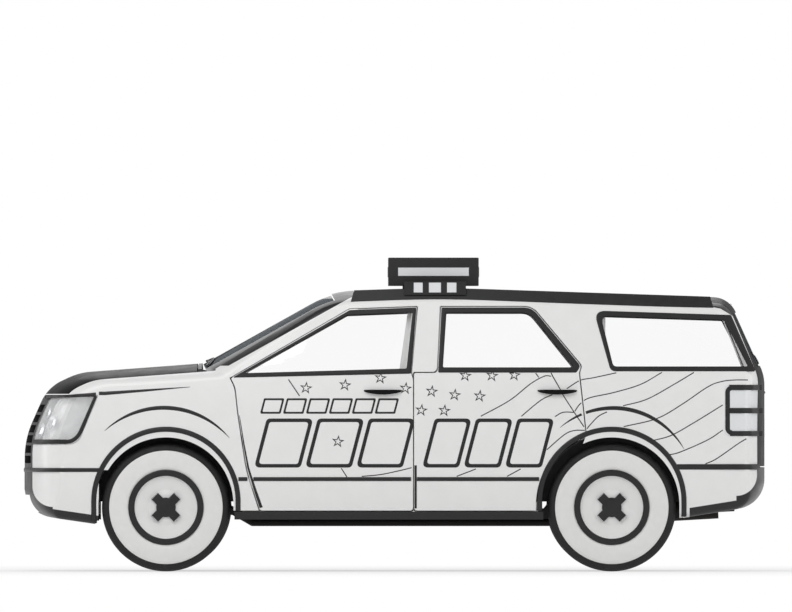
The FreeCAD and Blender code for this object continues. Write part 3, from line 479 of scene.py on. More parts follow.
def joined_mesh(name, grids):
    """One mesh from several grids of points. Each is (points, closed_u, closed_v, with_caps)."""
    points, faces, start = [], [], 0
    for grid, closed_u, closed_v, with_caps in grids:
        rows, columns = grid.shape[:2]
        index = start + np.arange(rows * columns).reshape(rows, columns)
        wide = np.vstack([index, index[:1]]) if closed_u else index
        wide = np.hstack([wide, wide[:, :1]]) if closed_v else wide
        quads = np.stack([wide[:-1, :-1], wide[1:, :-1], wide[1:, 1:], wide[:-1, 1:]], axis=-1)
        faces += quads.reshape(-1, 4).tolist()
        if with_caps:
            faces += [index[0].tolist(), index[-1, ::-1].tolist()]
        points.append(grid.reshape(-1, 3))
        start += rows * columns
    mesh = bpy.data.meshes.new(name)
    mesh.from_pydata(np.concatenate(points).tolist(), [], faces)
    mesh.polygons.foreach_set("use_smooth", np.full(len(mesh.polygons), True))
    mesh.update()
    return mesh


def add_piece(name, grids, body, *materials, sharp_deg=40.0):
    """Makes a piece of closed grids, turns its faces outwards and lets it ride on a body."""
    mesh = joined_mesh(name, grids)
    work = bmesh.new()
    work.from_mesh(mesh)
    bmesh.ops.recalc_face_normals(work, faces=work.faces)
    work.to_mesh(mesh)
    work.free()
    mesh.set_sharp_from_angle(angle=math.radians(sharp_deg))
    made = bpy.data.objects.new(name, mesh)
    bpy.context.scene.collection.objects.link(made)
    for material in materials:
        mesh.materials.append(material)
    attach(made, body)
    COUNT["pieces"] += 1
    COUNT["quads"] += len(mesh.polygons)
    return made


def add_pair(name, body, grids_of, *materials, sharp_deg=40.0):
    """Adds a piece of grids_of(sign) on each side. Only the vehicle's own body carries both sides."""
    for side, sign in SIDES:
        shared = body == "body"
        add_piece(f"{name}_{side}" if shared else f"{name}_{body}_{side}", grids_of(sign),
                  body if shared else f"{body}_{side}", *materials, sharp_deg=sharp_deg)


# %% [markdown]
# ## Tyres and wheels
#
# A tyre is a body of revolution, so it is a lathe surface: one half section, given as radius and
# distance along the axle, is carried round the axle. The tread grooves are part of the same surface:
# the radius drops where a groove runs. The drawing's tyre has a black tread, a broad white side wall
# and a thin black ring at the rim, so the outer side wall takes the white compound between two radii.

# %% Lathe a section round an axle
def lathe(section, centre, turns=120, groove=None):
    """Points of a section (radius, along) turned round the Y axis through centre.

    x = cx + r cos(a), z = cz + r sin(a), y = cy + along. groove(angle, along) lowers the radius.
    """
    angle = np.linspace(0, 2 * np.pi, turns, endpoint=False)[:, None]
    radius = np.broadcast_to(section[:, 0], (turns, len(section))).copy()
    along = np.broadcast_to(section[:, 1], (turns, len(section)))
    if groove is not None:
        radius -= groove(angle, along)
    return np.stack([
        centre[0] + radius * np.cos(angle), centre[1] + along, centre[2] + radius * np.sin(angle),
    ], axis=-1)


def smooth_section(corners, per_corner=7, share=0.42):
    """A closed section with each corner rounded by a quadratic curve between its two neighbours."""
    corners = np.asarray(corners, float)
    before = corners + (np.roll(corners, 1, axis=0) - corners) * share
    after = corners + (np.roll(corners, -1, axis=0) - corners) * share
    t = np.linspace(0, 1, per_corner)[None, :, None]
    curve = (1 - t) ** 2 * before[:, None] + 2 * t * (1 - t) * corners[:, None] + t ** 2 * after[:, None]
    return curve.reshape(-1, 2)


GROOVE_DEPTH, GROOVE_WIDTH, GROOVE_PLACES = 0.009, 0.005, (-0.055, -0.018, 0.018, 0.055)
LUGS = 72


def tread_groove(angle, along):
    """Four grooves round the tread, and short slanted ones across its shoulders."""
    depth = np.zeros(np.broadcast(angle, along).shape)
    for place in GROOVE_PLACES:
        depth += GROOVE_DEPTH * np.exp(-((along - place) / GROOVE_WIDTH) ** 4)
    slant = np.cos(LUGS * angle + along * 90.0)
    across = GROOVE_DEPTH * 0.8 * np.clip((slant - 0.72) / 0.28, 0, 1) ** 0.5
    on_tread = np.clip((0.1 - np.abs(along)) / 0.006, 0, 1) * (np.abs(along) > 0.03)
    return np.maximum(np.minimum(depth, GROOVE_DEPTH), across * on_tread)


half = TYRE_HALF_WIDTH
tread_line = [(TYRE_RADIUS - 0.0008, a) for a in np.linspace(-0.088, 0.088, 67)]
TYRE_SECTION = np.array(
    [(0.253, -half + 0.024), (0.253, -half + 0.014), (0.262, -half + 0.008), (0.30, -half + 0.002),
     (0.34, -half), (0.375, -half + 0.002), (0.402, -half + 0.006), (0.418, -half + 0.014),
     (0.427, -half + 0.026)]
    + tread_line
    + [(0.427, half - 0.026), (0.418, half - 0.014), (0.4025, half - 0.006), (0.3815, half - 0.0025),
       (0.3795, half - 0.001), (0.36, half), (0.34, half), (0.30, half - 0.001), (0.275, half - 0.004),
       (0.262, half - 0.008), (0.256, half - 0.012), (0.253, half - 0.014), (0.253, half - 0.024),
       (0.241, half - 0.024), (0.241, -half + 0.024)]
)
WHITE_FROM, WHITE_TO = 0.2525, 0.381


def make_tyre(end, side, sign, axle_x):
    """One tyre, with the white compound on the faces of its outer side wall."""
    centre = (axle_x, sign * WHEEL_Y, WHEEL_Z)
    grid = lathe(TYRE_SECTION * (1, sign), centre, 216,
                 lambda angle, along: tread_groove(angle, sign * along))
    tyre = add_piece(f"tyre_{end}_{side}_tread", looped(grid), f"wheel_{end}_{side}",
                     TYRE_RUBBER, WHITEWALL, sharp_deg=50)
    faces = tyre.data.polygons
    middle = np.empty(len(faces) * 3)
    faces.foreach_get("center", middle)
    middle = middle.reshape(-1, 3) - centre
    radius = np.hypot(middle[:, 0], middle[:, 2])
    white = (radius > WHITE_FROM) & (radius < WHITE_TO) & (middle[:, 1] * sign > half - 0.03)
    faces.foreach_set("material_index", white.astype(np.int32))
    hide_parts(f"tyre_{end}_{side}")


WHEELS = [(end, side, sign, x) for end, x in (("front", FRONT_AXLE_X), ("rear", REAR_AXLE_X))
          for side, sign in SIDES]
for wheel in WHEELS:
    make_tyre(*wheel)

# %% [markdown]
# ### Rim edge and cross-shaped hub cap
#
# The rim's edge is a black beading pressed over the white wheel, and the hub cap is a black cross with
# four blunt arms. The cross is a polar outline: the radius is the larger of a round boss and the
# nearest arm, and the arm's own radius is limited by its end and by its width.

# %% Rim beading and hub cap
RIM_INNER, RIM_OUTER = 0.211, 0.2535
ARM_REACH, ARM_HALF_WIDTH, BOSS_RADIUS = 0.111, 0.031, 0.066
HUB_FACE, CAP_HEIGHT = TYRE_HALF_WIDTH - 0.034, 0.016


def cross_radius(angle):
    """Outline of the cap: max(boss, min(reach / cos d, half width / sin d)), d from the nearest arm."""
    off = np.abs((angle % (np.pi / 2)) - np.pi / 4)
    arm = np.minimum(ARM_REACH / np.cos(off), ARM_HALF_WIDTH / np.maximum(np.sin(off), 1e-6))
    return np.maximum(BOSS_RADIUS, arm)


# The cap's face: shares of its outline and of its height, from the rim of the cap to its middle.
CAP_LEVELS = np.array([[1.0, 0.0], [1.0, 0.7], [0.965, 0.93], [0.9, 1.0], [0.6, 1.04], [0.3, 1.06],
                       [0.02, 1.07]])


def make_rim_trim(end, side, sign, axle_x):
    """The black beading on the rim's edge, and the hub cap."""
    centre = (axle_x, sign * WHEEL_Y, WHEEL_Z)
    bead = smooth_section([(RIM_INNER, half - 0.012), (RIM_INNER, half - 0.003), (RIM_OUTER, half - 0.004),
                           (RIM_OUTER, half - 0.013)])
    add_piece(f"rim_beading_{end}_{side}", looped(lathe(bead * (1, sign), centre, 96)),
              f"wheel_{end}_{side}", TRIM_PLASTIC)

    angle = np.linspace(0, 2 * np.pi, 160, endpoint=False)
    reach = CAP_LEVELS[:, :1] * cross_radius(angle)
    along = sign * (HUB_FACE - 0.001 + CAP_HEIGHT * CAP_LEVELS[:, 1:])
    cap = np.stack([centre[0] + reach * np.cos(angle), np.broadcast_to(centre[1] + along, reach.shape),
                    centre[2] + reach * np.sin(angle)], axis=-1)
    add_piece(f"hub_cap_{end}_{side}", capped(cap), f"wheel_{end}_{side}", TRIM_PLASTIC, sharp_deg=35)


for wheel in WHEELS:
    make_rim_trim(*wheel)

# %% [markdown]
# ## The body side as a function
#
# Seals, mouldings and the printed pattern all lie on the body side. In the CAD model that side is a
# sum of two curves: how far out it stands at each height, less how much it tapers towards the ends.
# So both curves are measured once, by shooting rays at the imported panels, and from then on any point
# (x, z) of a drawing can be put on the body, a stated distance above the paint.

# %% Measure the body side
def node_tree(names):
    """A search tree over the triangles of some CAD nodes, and which node each triangle is from."""
    points, triangles, owner, start = [], [], [], 0
    for k, name in enumerate(names):
        mesh = NODES[name].data
        mesh.calc_loop_triangles()
        place = np.empty(len(mesh.vertices) * 3)
        mesh.vertices.foreach_get("co", place)
        corner = np.empty(len(mesh.loop_triangles) * 3, dtype=np.int32)
        mesh.loop_triangles.foreach_get("vertices", corner)
        points.append(place.reshape(-1, 3))
        triangles.append(corner.reshape(-1, 3) + start)
        owner.append(np.full(len(mesh.loop_triangles), k))
        start += len(mesh.vertices)
    return (BVHTree.FromPolygons(np.concatenate(points).tolist(), np.concatenate(triangles).tolist()),
            np.concatenate(owner))


LEFT_PANELS = ["fender_left", "door_front_left", "door_rear_left", "side_frame_left", "front_bumper",
               "rear_bumper", "sill_trim", "headlamps", "tail_lamps"]
left_tree, left_owner = node_tree(LEFT_PANELS)


def shoot_side(x, z):
    """Where rays from the left meet the panels: y (nan for a miss) and the number of the panel."""
    y = np.full(len(x), np.nan)
    panel = np.full(len(x), -1)
    for i, (px, pz) in enumerate(zip(x, z)):
        place, _, face, _ = left_tree.ray_cast(Vector((px, 2.0, pz)), Vector((0, -1, 0)))
        if place is not None:
            y[i], panel[i] = place.y, left_owner[face]
    return y, panel


# The CAD side falls in by DROP_Y at the heights DROP_Z, and towards each end by a parabola: where it
# starts, how long it is and how far it falls in. Rays that met something else are left out.
HALF_WIDTH, LEVEL_Z, PILLAR_X = 0.991, 1.0, -0.230
DROP_Z = (0.2, 0.36, 0.52, 0.7, 0.9, 1.08, 1.23, 1.33, 1.43, 1.62, 1.8, 1.98)
DROP_Y = (0.053, 0.035, 0.013, 0.002, 0, 0.006, 0.018, 0.034, 0.056, 0.102, 0.146, 0.191)
(TAIL_FROM, TAIL_RUN, TAIL_IN), (NOSE_FROM, NOSE_RUN, NOSE_IN) = (-1.3, 1.2, 0.045), (1.0, 1.5, 0.070)
height_z = np.linspace(0.36, 1.785, 286)
height_y, _ = shoot_side(np.full(286, PILLAR_X), height_z)
good = np.abs(height_y - (HALF_WIDTH - np.interp(height_z, DROP_Z, DROP_Y))) < 0.006
SIDE_Z, SIDE_Y = height_z[good], height_y[good]
level_y = np.interp(LEVEL_Z, SIDE_Z, SIDE_Y)
along_x = np.linspace(-2.40, 2.24, 465)
along_y, _ = shoot_side(along_x, np.full(465, LEVEL_Z))
taper = TAIL_IN * (np.maximum(TAIL_FROM - along_x, 0) / TAIL_RUN) ** 2
taper += NOSE_IN * (np.maximum(along_x - NOSE_FROM, 0) / NOSE_RUN) ** 2
good = np.abs(along_y - (level_y - taper)) < 0.004
TAPER_X, TAPER_Y = along_x[good], level_y - along_y[good]
print("side measured at", len(SIDE_Z), "heights and", len(TAPER_X), "stations")


def side_y(x, z):
    """Distance of the paint from the middle of the vehicle: height curve less taper.

    Past what was measured the curves go on along straight lines.
    """
    low = np.minimum(z - SIDE_Z[0], 0) * 0.11
    ends = (2 * TAIL_IN / TAIL_RUN * np.maximum(TAPER_X[0] - x, 0)
            + 2 * NOSE_IN / NOSE_RUN * np.maximum(x - TAPER_X[-1], 0))
    return np.interp(z, SIDE_Z, SIDE_Y) + low - np.interp(x, TAPER_X, TAPER_Y) - ends


def on_side(x, z, lift, sign):
    """Points lift metres off the paint, along its normal, on the side given by sign."""
    step = 0.01
    slope_x = (side_y(x + step, z) - side_y(x - step, z)) / (2 * step)
    slope_z = (side_y(x, z + step) - side_y(x, z - step)) / (2 * step)
    size = np.sqrt(1 + slope_x ** 2 + slope_z ** 2)
    return np.stack([
        x - lift * slope_x / size, sign * (side_y(x, z) + lift / size), z - lift * slope_z / size,
    ], axis=-1)


# %% [markdown]
# ### Strips on the body side
#
# A moulding, a seal or a printed line is a path in the side view with a width and a height. Its
# section is a low arch whose foot is sunk a little into the paint, and the section is carried along
# the path. Where a path crosses a shut line it is cut, and each part rides with its own panel.

# %% Strips along a path
def path_normals(path):
    """Unit vectors across a path in the side view."""
    run = np.gradient(path, axis=0)
    run = run / np.maximum(np.linalg.norm(run, axis=1, keepdims=True), 1e-9)
    return np.stack([-run[:, 1], run[:, 0]], axis=1)


def strip_grid(path, width, height, sign, across=7, sink=0.0012):
    """Grid of a raised strip: height * (1 - |u|^4) above the paint over u from -1 to 1, then its foot."""
    normal = path_normals(path)
    width = np.broadcast_to(width, len(path))
    u = np.linspace(-1, 1, across)
    lift = np.concatenate([height * (1 - np.abs(u) ** 4) + 0.0002, [-sink, -sink]])
    u = np.concatenate([u, [1, -1]])
    place = path[:, None] + normal[:, None] * (width[:, None, None] / 2) * u[None, :, None]
    return on_side(place[..., 0], place[..., 1], np.broadcast_to(lift, place.shape[:2]), sign)


def resample(path, step):
    """The same path with points about step apart, and how far along it each lies, from 0 to 1."""
    path = np.asarray(path, float)
    run = np.concatenate([[0], np.cumsum(np.linalg.norm(np.diff(path, axis=0), axis=1))])
    at = np.linspace(0, run[-1], max(int(run[-1] / step), 2) + 1)
    return np.stack([np.interp(at, run, path[:, 0]), np.interp(at, run, path[:, 1])], axis=1), at / run[-1]


def arc_path(centre, radius, start_deg, end_deg, count=90):
    """Points of an arc in the side view, angles from +X towards +Z."""
    angle = np.radians(np.linspace(start_deg, end_deg, count))
    return np.stack([centre[0] + radius * np.cos(angle), centre[1] + radius * np.sin(angle)], axis=1)


PANEL_BODY = {"door_front_left": "door_front", "door_rear_left": "door_rear"}


def panel_runs(path, width):
    """Splits a path into runs whose middle and both edges lie on one panel: (panel name, slice)."""
    normal = path_normals(path)
    found = []
    for offset in (-0.5, 0.0, 0.5):
        place = path + normal * (np.broadcast_to(width, len(path)) * offset)[:, None]
        y, panel = shoot_side(place[:, 0], place[:, 1])
        near = np.abs(y - side_y(place[:, 0], place[:, 1])) < 0.004
        found.append(np.where(near, panel, -1))
    label = np.where((found[0] == found[1]) & (found[1] == found[2]), found[1], -1)
    parts = np.split(np.arange(len(path)), np.flatnonzero(np.diff(label)) + 1)
    return [(LEFT_PANELS[label[part[0]]], slice(part[0], part[-1] + 1))
            for part in parts if label[part[0]] >= 0 and len(part) > 1]


def add_strips(name, paths, height, material, step=0.006, across=7):
    """Adds strips, (path, width) pairs, on both sides of the vehicle, one piece for each body.

    Each width is one number, or several that are spaced evenly along the path.
    """
    by_body = {}
    for path, width in paths:
        fine, share = resample(path, step)
        knots = np.atleast_1d(width)
        widths = np.interp(share, np.linspace(0, 1, len(knots)), knots)
        for panel, part in panel_runs(fine, widths):
            by_body.setdefault(PANEL_BODY.get(panel, "body"), []).append((fine[part], widths[part]))
    for body, strips in by_body.items():
        add_pair(name, body, lambda sign: capped(*(strip_grid(path, width, height, sign, across)
                                                   for path, width in strips)), material)


# %% [markdown]
# ### Window surrounds
#
# Each side window sits in a black frame. On the doors it fills all the metal between the glass and
# the edge of the door, and behind them it is a band on the white quarter. A frame is a ring between
# two outlines with the same number of corners, bulged slightly between them.

# %% Black window frames
def rounded_outline(corners, radii, per_corner=10, per_side=26):
    """A closed outline with rounded corners: a curve at each corner, a straight run to the next."""
    corners = np.asarray(corners, float)
    run = np.roll(corners, -1, axis=0) - corners
    run /= np.linalg.norm(run, axis=1, keepdims=True)
    back = -np.roll(run, 1, axis=0)
    half_angle = np.arccos(np.clip(np.sum(run * back, axis=1), -1, 1)) / 2
    reach = (np.asarray(radii) / np.tan(half_angle))[:, None]
    start, end = corners + back * reach, corners + run * reach
    t = np.linspace(0, 1, per_corner)[:, None]
    s = np.linspace(0, 1, per_side + 2)[1:-1, None]
    curve = (1 - t) ** 2 * start[:, None] + 2 * t * (1 - t) * corners[:, None] + t ** 2 * end[:, None]
    straight = end[:, None] + (np.roll(start, -1, axis=0) - end)[:, None] * s
    return np.concatenate([curve, straight], axis=1).reshape(-1, 2)


def ring_between(outer, inner, shares, lifts, sign):
    """A ring from one outline to another with as many points: at each share its lift off the paint."""
    share = np.array(shares)[None, :, None]
    place = outer[:, None] * (1 - share) + inner[:, None] * share
    return on_side(place[..., 0], place[..., 1], np.broadcast_to(lifts, place.shape[:2]), sign)


WINDOWS = {
    "door_front": (
        [(1.094, 1.304), (0.301, 1.760), (-0.148, 1.777), (-0.112, 1.331)], [0.006, 0.045, 0.012, 0.012],
        [(1.008, 1.336), (0.319, 1.724), (-0.120, 1.741), (-0.080, 1.367)], [0.006, 0.030, 0.010, 0.010]),
    "door_rear": (
        [(-0.293, 1.338), (-0.316, 1.777), (-0.924, 1.777), (-1.253, 1.383), (-1.224, 1.338)],
        [0.010, 0.010, 0.120, 0.030, 0.020],
        [(-0.326, 1.375), (-0.350, 1.740), (-0.910, 1.740), (-1.200, 1.381), (-1.188, 1.375)],
        [0.010, 0.010, 0.105, 0.004, 0.004]),
    "body": (
        [(-1.455, 1.347), (-1.340, 1.757), (-2.266, 1.727), (-2.432, 1.347)], [0.045, 0.060, 0.012, 0.012],
        [(-1.473, 1.381), (-1.389, 1.718), (-2.219, 1.691), (-2.379, 1.381)], [0.030, 0.040, 0.010, 0.010]),
}
FRAME_SHARES = (0, 0.02, 0.08, 0.25, 0.5, 0.75, 0.92, 0.98, 1, 1, 0)
FRAME_LIFTS = (-0.002, 0.002, 0.0035, 0.004, 0.004, 0.004, 0.0035, 0.001, -0.004, -0.008, -0.008)
for body, (outer, outer_radii, inner, inner_radii) in WINDOWS.items():
    outlines = rounded_outline(outer, outer_radii), rounded_outline(inner, inner_radii)
    add_pair("window_frame_quarter" if body == "body" else "window_frame", body,
             lambda sign: looped(ring_between(*outlines, FRAME_SHARES, FRAME_LIFTS, sign)), SEAL_RUBBER)

# %% [markdown]
# ### Mouldings
#
# Round each wheel opening runs a black moulding, an arch with straight legs. A rubbing strip crosses
# the doors low down, and black strips mark the top of each bumper. Above the wheels a stroke that
# swells and fades follows the crease of the flare.

# %% Arch mouldings, rubbing strips and crease strokes
RING_RADIUS, RING_WIDTH, RING_HEIGHT, RING_Z = 0.4855, 0.035, 0.0085, 0.472
RING_FEET = (("front", FRONT_AXLE_X, 0.335, 0.412), ("rear", REAR_AXLE_X, 0.412, 0.370))
for end, axle, low_front, low_rear in RING_FEET:
    arch = arc_path((axle, RING_Z), RING_RADIUS, 0, 180, 110)
    path, _ = resample([(axle + RING_RADIUS, low_front), *arch, (axle - RING_RADIUS, low_rear)], 0.012)
    add_pair(f"arch_moulding_{end}", "body", lambda sign: capped(
        strip_grid(path, RING_WIDTH, RING_HEIGHT, sign, across=9, sink=0.004)), TRIM_PLASTIC)

MOULDING_Z = 0.6225
add_strips("rubbing_strip", [([(1.050, MOULDING_Z), (-0.972, MOULDING_Z)], 0.027)], 0.008, TRIM_PLASTIC,
           step=0.02, across=9)


def three_point_arc(*points, count=60):
    """The circular arc through three points: its centre is as far from the first as from the others."""
    a, b, c = np.array(points)
    centre = np.linalg.solve(2 * np.array([b - a, c - b]), [b @ b - a @ a, c @ c - b @ b])
    start, end = (math.degrees(math.atan2(p[1] - centre[1], p[0] - centre[0])) for p in (a, c))
    return arc_path(centre, np.linalg.norm(a - centre), start, end, count)


def swell(widest):
    """A width that grows from nothing to widest in the middle and back."""
    return widest * np.sin(np.linspace(0, np.pi, 60)) ** 0.8 + 0.0015


crease_paths = [
    (three_point_arc((1.951, 0.946), (1.538, 1.102), (1.110, 0.898)), swell(0.026)),
    (three_point_arc((-1.114, 0.969), (-1.450, 1.100), (-1.948, 0.824)), swell(0.026)),
    ([(2.200, 1.199), (1.948, 1.199), (1.700, 1.217), (1.376, 1.242)], (0.026, 0.024, 0.016, 0.003)),
]
add_strips("crease_stroke", crease_paths, 0.0015, TRIM_PLASTIC, step=0.010, across=5)
print("pieces so far:", COUNT)

# %% [markdown]
# ### Strips that go round a corner
#
# The bumper lines and the borders of the lamps leave the side and go round the corner of the body,
# where a side view is no help. So they are placed by heading: level rays are shot at the vehicle from
# all round, towards one upright axis inside it, and the strip is laid on the points that they meet.
# Taking the largest reach of a few neighbouring rays carries a strip over a shut line.

# %% Lay a band on the skin by heading
corner_tree, _ = node_tree(["fender_left", "side_frame_left", "front_bumper", "rear_bumper", "grille",
                            "headlamps", "tail_lamps"])


def filled(reach):
    """Gaps filled with the furthest height of their own heading, or else from the headings beside it."""
    missing = np.isnan(reach)
    furthest = np.max(np.where(missing, -np.inf, reach), axis=1)
    rows, known = np.arange(len(reach)), np.isfinite(furthest)
    furthest = np.interp(rows, rows[known], furthest[known])
    return np.where(missing, furthest[:, None], reach)


def skin_reach(axis_x, heading, z, towards):
    """How far the skin lies from the upright axis at (axis_x, 0), along each heading at its heights z."""
    reach = np.full(z.shape, np.nan)
    for i, j in np.ndindex(z.shape):
        out = Vector((math.sin(heading[i]) * towards, math.cos(heading[i]), 0.0))
        start = Vector((axis_x, 0.0, z[i, j])) + out * 2.0
        place, _, _, _ = corner_tree.ray_cast(start, -out, 1.9)
        if place is not None:
            reach[i, j] = math.hypot(place.x - axis_x, place.y)
    return reach


def band_on_skin(axis_x, from_deg, to_deg, low_z, high_z, height, towards, step_deg=0.5, across=7):
    """A band between two heights: r = reach(heading, z) + height * (1 - |u|^6), with a sunk foot.

    Each height is one number, or several that are spaced evenly over the headings.
    """
    heading = np.radians(np.arange(from_deg, to_deg + step_deg / 2, step_deg))
    share = np.linspace(0, 1, len(heading))
    low, high = (np.interp(share, np.linspace(0, 1, len(np.atleast_1d(v))), np.atleast_1d(v))[:, None]
                 for v in (low_z, high_z))
    u = np.linspace(-1, 1, across)
    z = (low + high) / 2 + u * (high - low) / 2
    reach = filled(skin_reach(axis_x, heading, z, towards))
    middle = np.max(reach, axis=1, keepdims=True)
    reach = np.where(reach < middle - 0.02, middle, reach)
    wide = np.pad(reach, ((2, 2), (0, 0)), mode="edge")
    reach = np.max([wide[k:k + len(heading)] for k in range(5)], axis=0)
    print(f"band at z {z.min():.3f} to {z.max():.3f}: reach {reach.min():.3f} to {reach.max():.3f} m")
    top = reach + 0.0006 + height * (1 - np.abs(u) ** 6)
    radius = np.concatenate([top, reach[:, -1:] - 0.003, reach[:, :1] - 0.003], axis=1)
    level = np.concatenate([z, z[:, -1:], z[:, :1]], axis=1)
    turn = np.broadcast_to(heading[:, None], radius.shape)
    return np.stack([axis_x + towards * radius * np.sin(turn), radius * np.cos(turn), level], axis=-1)


def add_band(name, material, grid):
    """Adds an open band on both sides."""
    add_pair(name, "body", lambda sign: capped(grid * (1, sign, 1)), material)


# %% Bumper lines
FRONT_LINE_X, FRONT_LINE = 1.985, (0.670, 0.697)
REAR_LINE_X, REAR_LINE = -1.900, (0.686, 0.723)
GATE_EDGE_DEG = 35.4
nose_half = band_on_skin(FRONT_LINE_X, 0.0, 90.0, *FRONT_LINE, 0.003, 1)
nose_band = np.concatenate([nose_half, (nose_half * (1, -1, 1))[-2::-1]])
add_piece("bumper_line_front", capped(nose_band), "body", TRIM_PLASTIC)
add_band("bumper_line_rear", TRIM_PLASTIC,
         band_on_skin(REAR_LINE_X, 0.0, GATE_EDGE_DEG, *REAR_LINE, 0.003, -1))

# %% [markdown]
# ### Lamps
#
# A headlamp is a white tray with bright bowls behind a clear cover, and a black gasket closes it along
# the wing and below. The tail lamp is one moulded case with two white cells: black bars edge it above,
# below and between, and a bar with rounded ends closes it towards the front.

# %% Headlamp gaskets and bowls
HEADLAMP_AXIS_X = 2.000
HEADLAMP_EDGE = [(2.010, 1.182), (2.111, 0.944), (2.120, 0.927), (2.133, 0.909), (2.149, 0.894),
                 (2.168, 0.882), (2.190, 0.875), (2.214, 0.874)]
LAMP_HEADINGS = {"foot": (12.4, 34.5), "brow": (0.5, 34.5)}
BROW_LOW, BROW_HIGH = (1.177, 1.161), (1.205, 1.1905, 1.190, 1.190)
add_strips("headlamp_gasket", [(HEADLAMP_EDGE, (0.020, 0.028))], 0.002, SEAL_RUBBER, step=0.005)
add_band("headlamp_foot", SEAL_RUBBER,
         band_on_skin(HEADLAMP_AXIS_X, *LAMP_HEADINGS["foot"], 0.859, 0.889, 0.002, 1))
add_band("headlamp_brow", SEAL_RUBBER,
         band_on_skin(HEADLAMP_AXIS_X, *LAMP_HEADINGS["brow"], BROW_LOW, BROW_HIGH, 0.002, 1))


def bowl_grid(centre, facing, radius, depth, rings=9, turns=40):
    """A dished reflector: depth * (s^2 - 1) behind its rim at share s of the radius, 2 mm thick."""
    facing = np.array(facing) / np.linalg.norm(facing)
    across = np.cross(facing, (0, 0, 1))
    across /= np.linalg.norm(across)
    upward = np.cross(across, facing)
    angle = np.linspace(0, 2 * np.pi, turns, endpoint=False)[None, :, None]
    share = np.concatenate([np.linspace(0.04, 1, rings), np.linspace(1.03, 0.05, rings)])[:, None, None]
    back = np.concatenate([np.zeros(rings), np.full(rings, 0.002)])[:, None, None]
    rim = share * radius * (np.cos(angle) * across + np.sin(angle) * upward)
    return np.array(centre) + rim + facing * (depth * (share ** 2 - 1) - back)


HEADLAMP_BOWLS = [(0.712, 0.955, 0.052), (0.712, 1.072, 0.044), (0.838, 1.010, 0.046)]
BOWL_BEHIND, BOWL_DEPTH = 0.014, 0.020
cover_tree, _ = node_tree(["headlamps"])
bowls = []
for y, z, radius in HEADLAMP_BOWLS:
    place, normal, _, _ = cover_tree.ray_cast(Vector((3.5, y, z)), Vector((-1, 0, 0)))
    facing = normal if normal.x > 0 else -normal
    bowls.append(bowl_grid(place - facing * BOWL_BEHIND, facing, radius, BOWL_DEPTH))
add_pair("headlamp_bowls", "body", lambda sign: capped(*(bowl * (1, sign, 1) for bowl in bowls)), BRIGHT)

# %% Tail-lamp bars
TAIL_AXIS_X, TAIL_BAR_X = -2.000, -2.241
TAIL_BARS = [(1.221, 1.257), (1.065, 1.101), (0.912, 0.946)]
for k, (low, high) in enumerate(TAIL_BARS):
    add_band(f"tail_lamp_bar_{k}", SEAL_RUBBER,
             band_on_skin(TAIL_AXIS_X, 15.0, 31.0, low, high, 0.002, -1))
BAR_END_RADIUS = 0.030
BAR_END_X = TAIL_BAR_X - BAR_END_RADIUS
tail_edge = np.concatenate([
    arc_path((BAR_END_X, 1.236 - BAR_END_RADIUS), BAR_END_RADIUS, 90, 0, 10),
    arc_path((BAR_END_X, 0.934 + BAR_END_RADIUS), BAR_END_RADIUS, 0, -90, 10),
])
add_strips("tail_lamp_edge", [(tail_edge, 0.032)], 0.002, SEAL_RUBBER)

# %% [markdown]
# ### Door handles
#
# The handles are black bows with a flat top edge and a curved lower edge. Each is one closed form: a
# rounded rectangle carried along the door, whose height follows the lower curve and whose distance
# from the paint rises quickly to a hand's clearance.

# %% Bow handles
HANDLE_TOP_Z, HANDLE_DROP, HANDLE_REACH, HANDLE_WALL = 1.221, 0.026, 0.030, 0.011
HANDLES = {"door_front": (0.078, 0.128), "door_rear": (-1.095, 0.133)}


def handle_grid(centre_x, half_length, sign, stations=49):
    """Height = drop * (1 - u^2)^0.6 below a flat top, and stand-off = reach * (1 - u^8), u from -1 to 1."""
    u = np.sin(np.linspace(-np.pi / 2, np.pi / 2, stations))[:, None]
    section = smooth_section([(-1, -1), (1, -1), (1, 1), (-1, 1)], per_corner=4, share=0.3)
    height = 0.006 + HANDLE_DROP * np.maximum(1 - u ** 2, 0) ** 0.6
    off = 0.001 + HANDLE_REACH * (1 - u ** 8)
    x = np.broadcast_to(centre_x + half_length * u, (stations, len(section)))
    z = HANDLE_TOP_Z - height / 2 * (1 - section[:, 1])
    lift = off - HANDLE_WALL / 2 * (1 - section[:, 0])
    return on_side(x, z, lift, sign)


for body, (centre_x, half_length) in HANDLES.items():
    add_pair("handle", body, lambda sign: capped(handle_grid(centre_x, half_length, sign)), BLACK_PAINT,
             sharp_deg=60)

# %% [markdown]
# ### Seals along the shut lines
#
# The drawing thickens two shut lines towards the sill. On the vehicle that is the black rubber lip
# along the edge of each door, so it is a strip beside the gap that widens downwards.

# %% Door-edge lips
FRONT_EDGE = np.array([(1.048, 1.05), (1.020, 0.86), (0.993, 0.70), (0.9795, 0.65), (0.950, 0.55),
                       (0.911, 0.43)])
FRONT_LIP = np.array([0.004, 0.007, 0.011, 0.014, 0.018, 0.022])
REAR_EDGE = np.array([(-0.1325, 0.715), (-0.1325, 0.425)])
lip_paths = [
    (FRONT_EDGE - np.stack([0.003 + FRONT_LIP / 2, np.zeros(6)], axis=1), FRONT_LIP),
    (REAR_EDGE - (0.0095, 0.0), 0.016),
]
add_strips("door_edge_lip", lip_paths, 0.0015, SEAL_RUBBER, step=0.008)

# %% [markdown]
# ### The printed side: stars, waves and slanted blocks
#
# Thin black outlines cover the side: five-pointed stars towards the front, and long waves that rise
# towards the rear, like a flag in the wind. They are vinyl lines about 7 mm wide. Across the doors run
# two rows of plain slanted blocks, outlined in the same way. The places below are read off the side
# view in its own pixels and carried to metres by one scale.

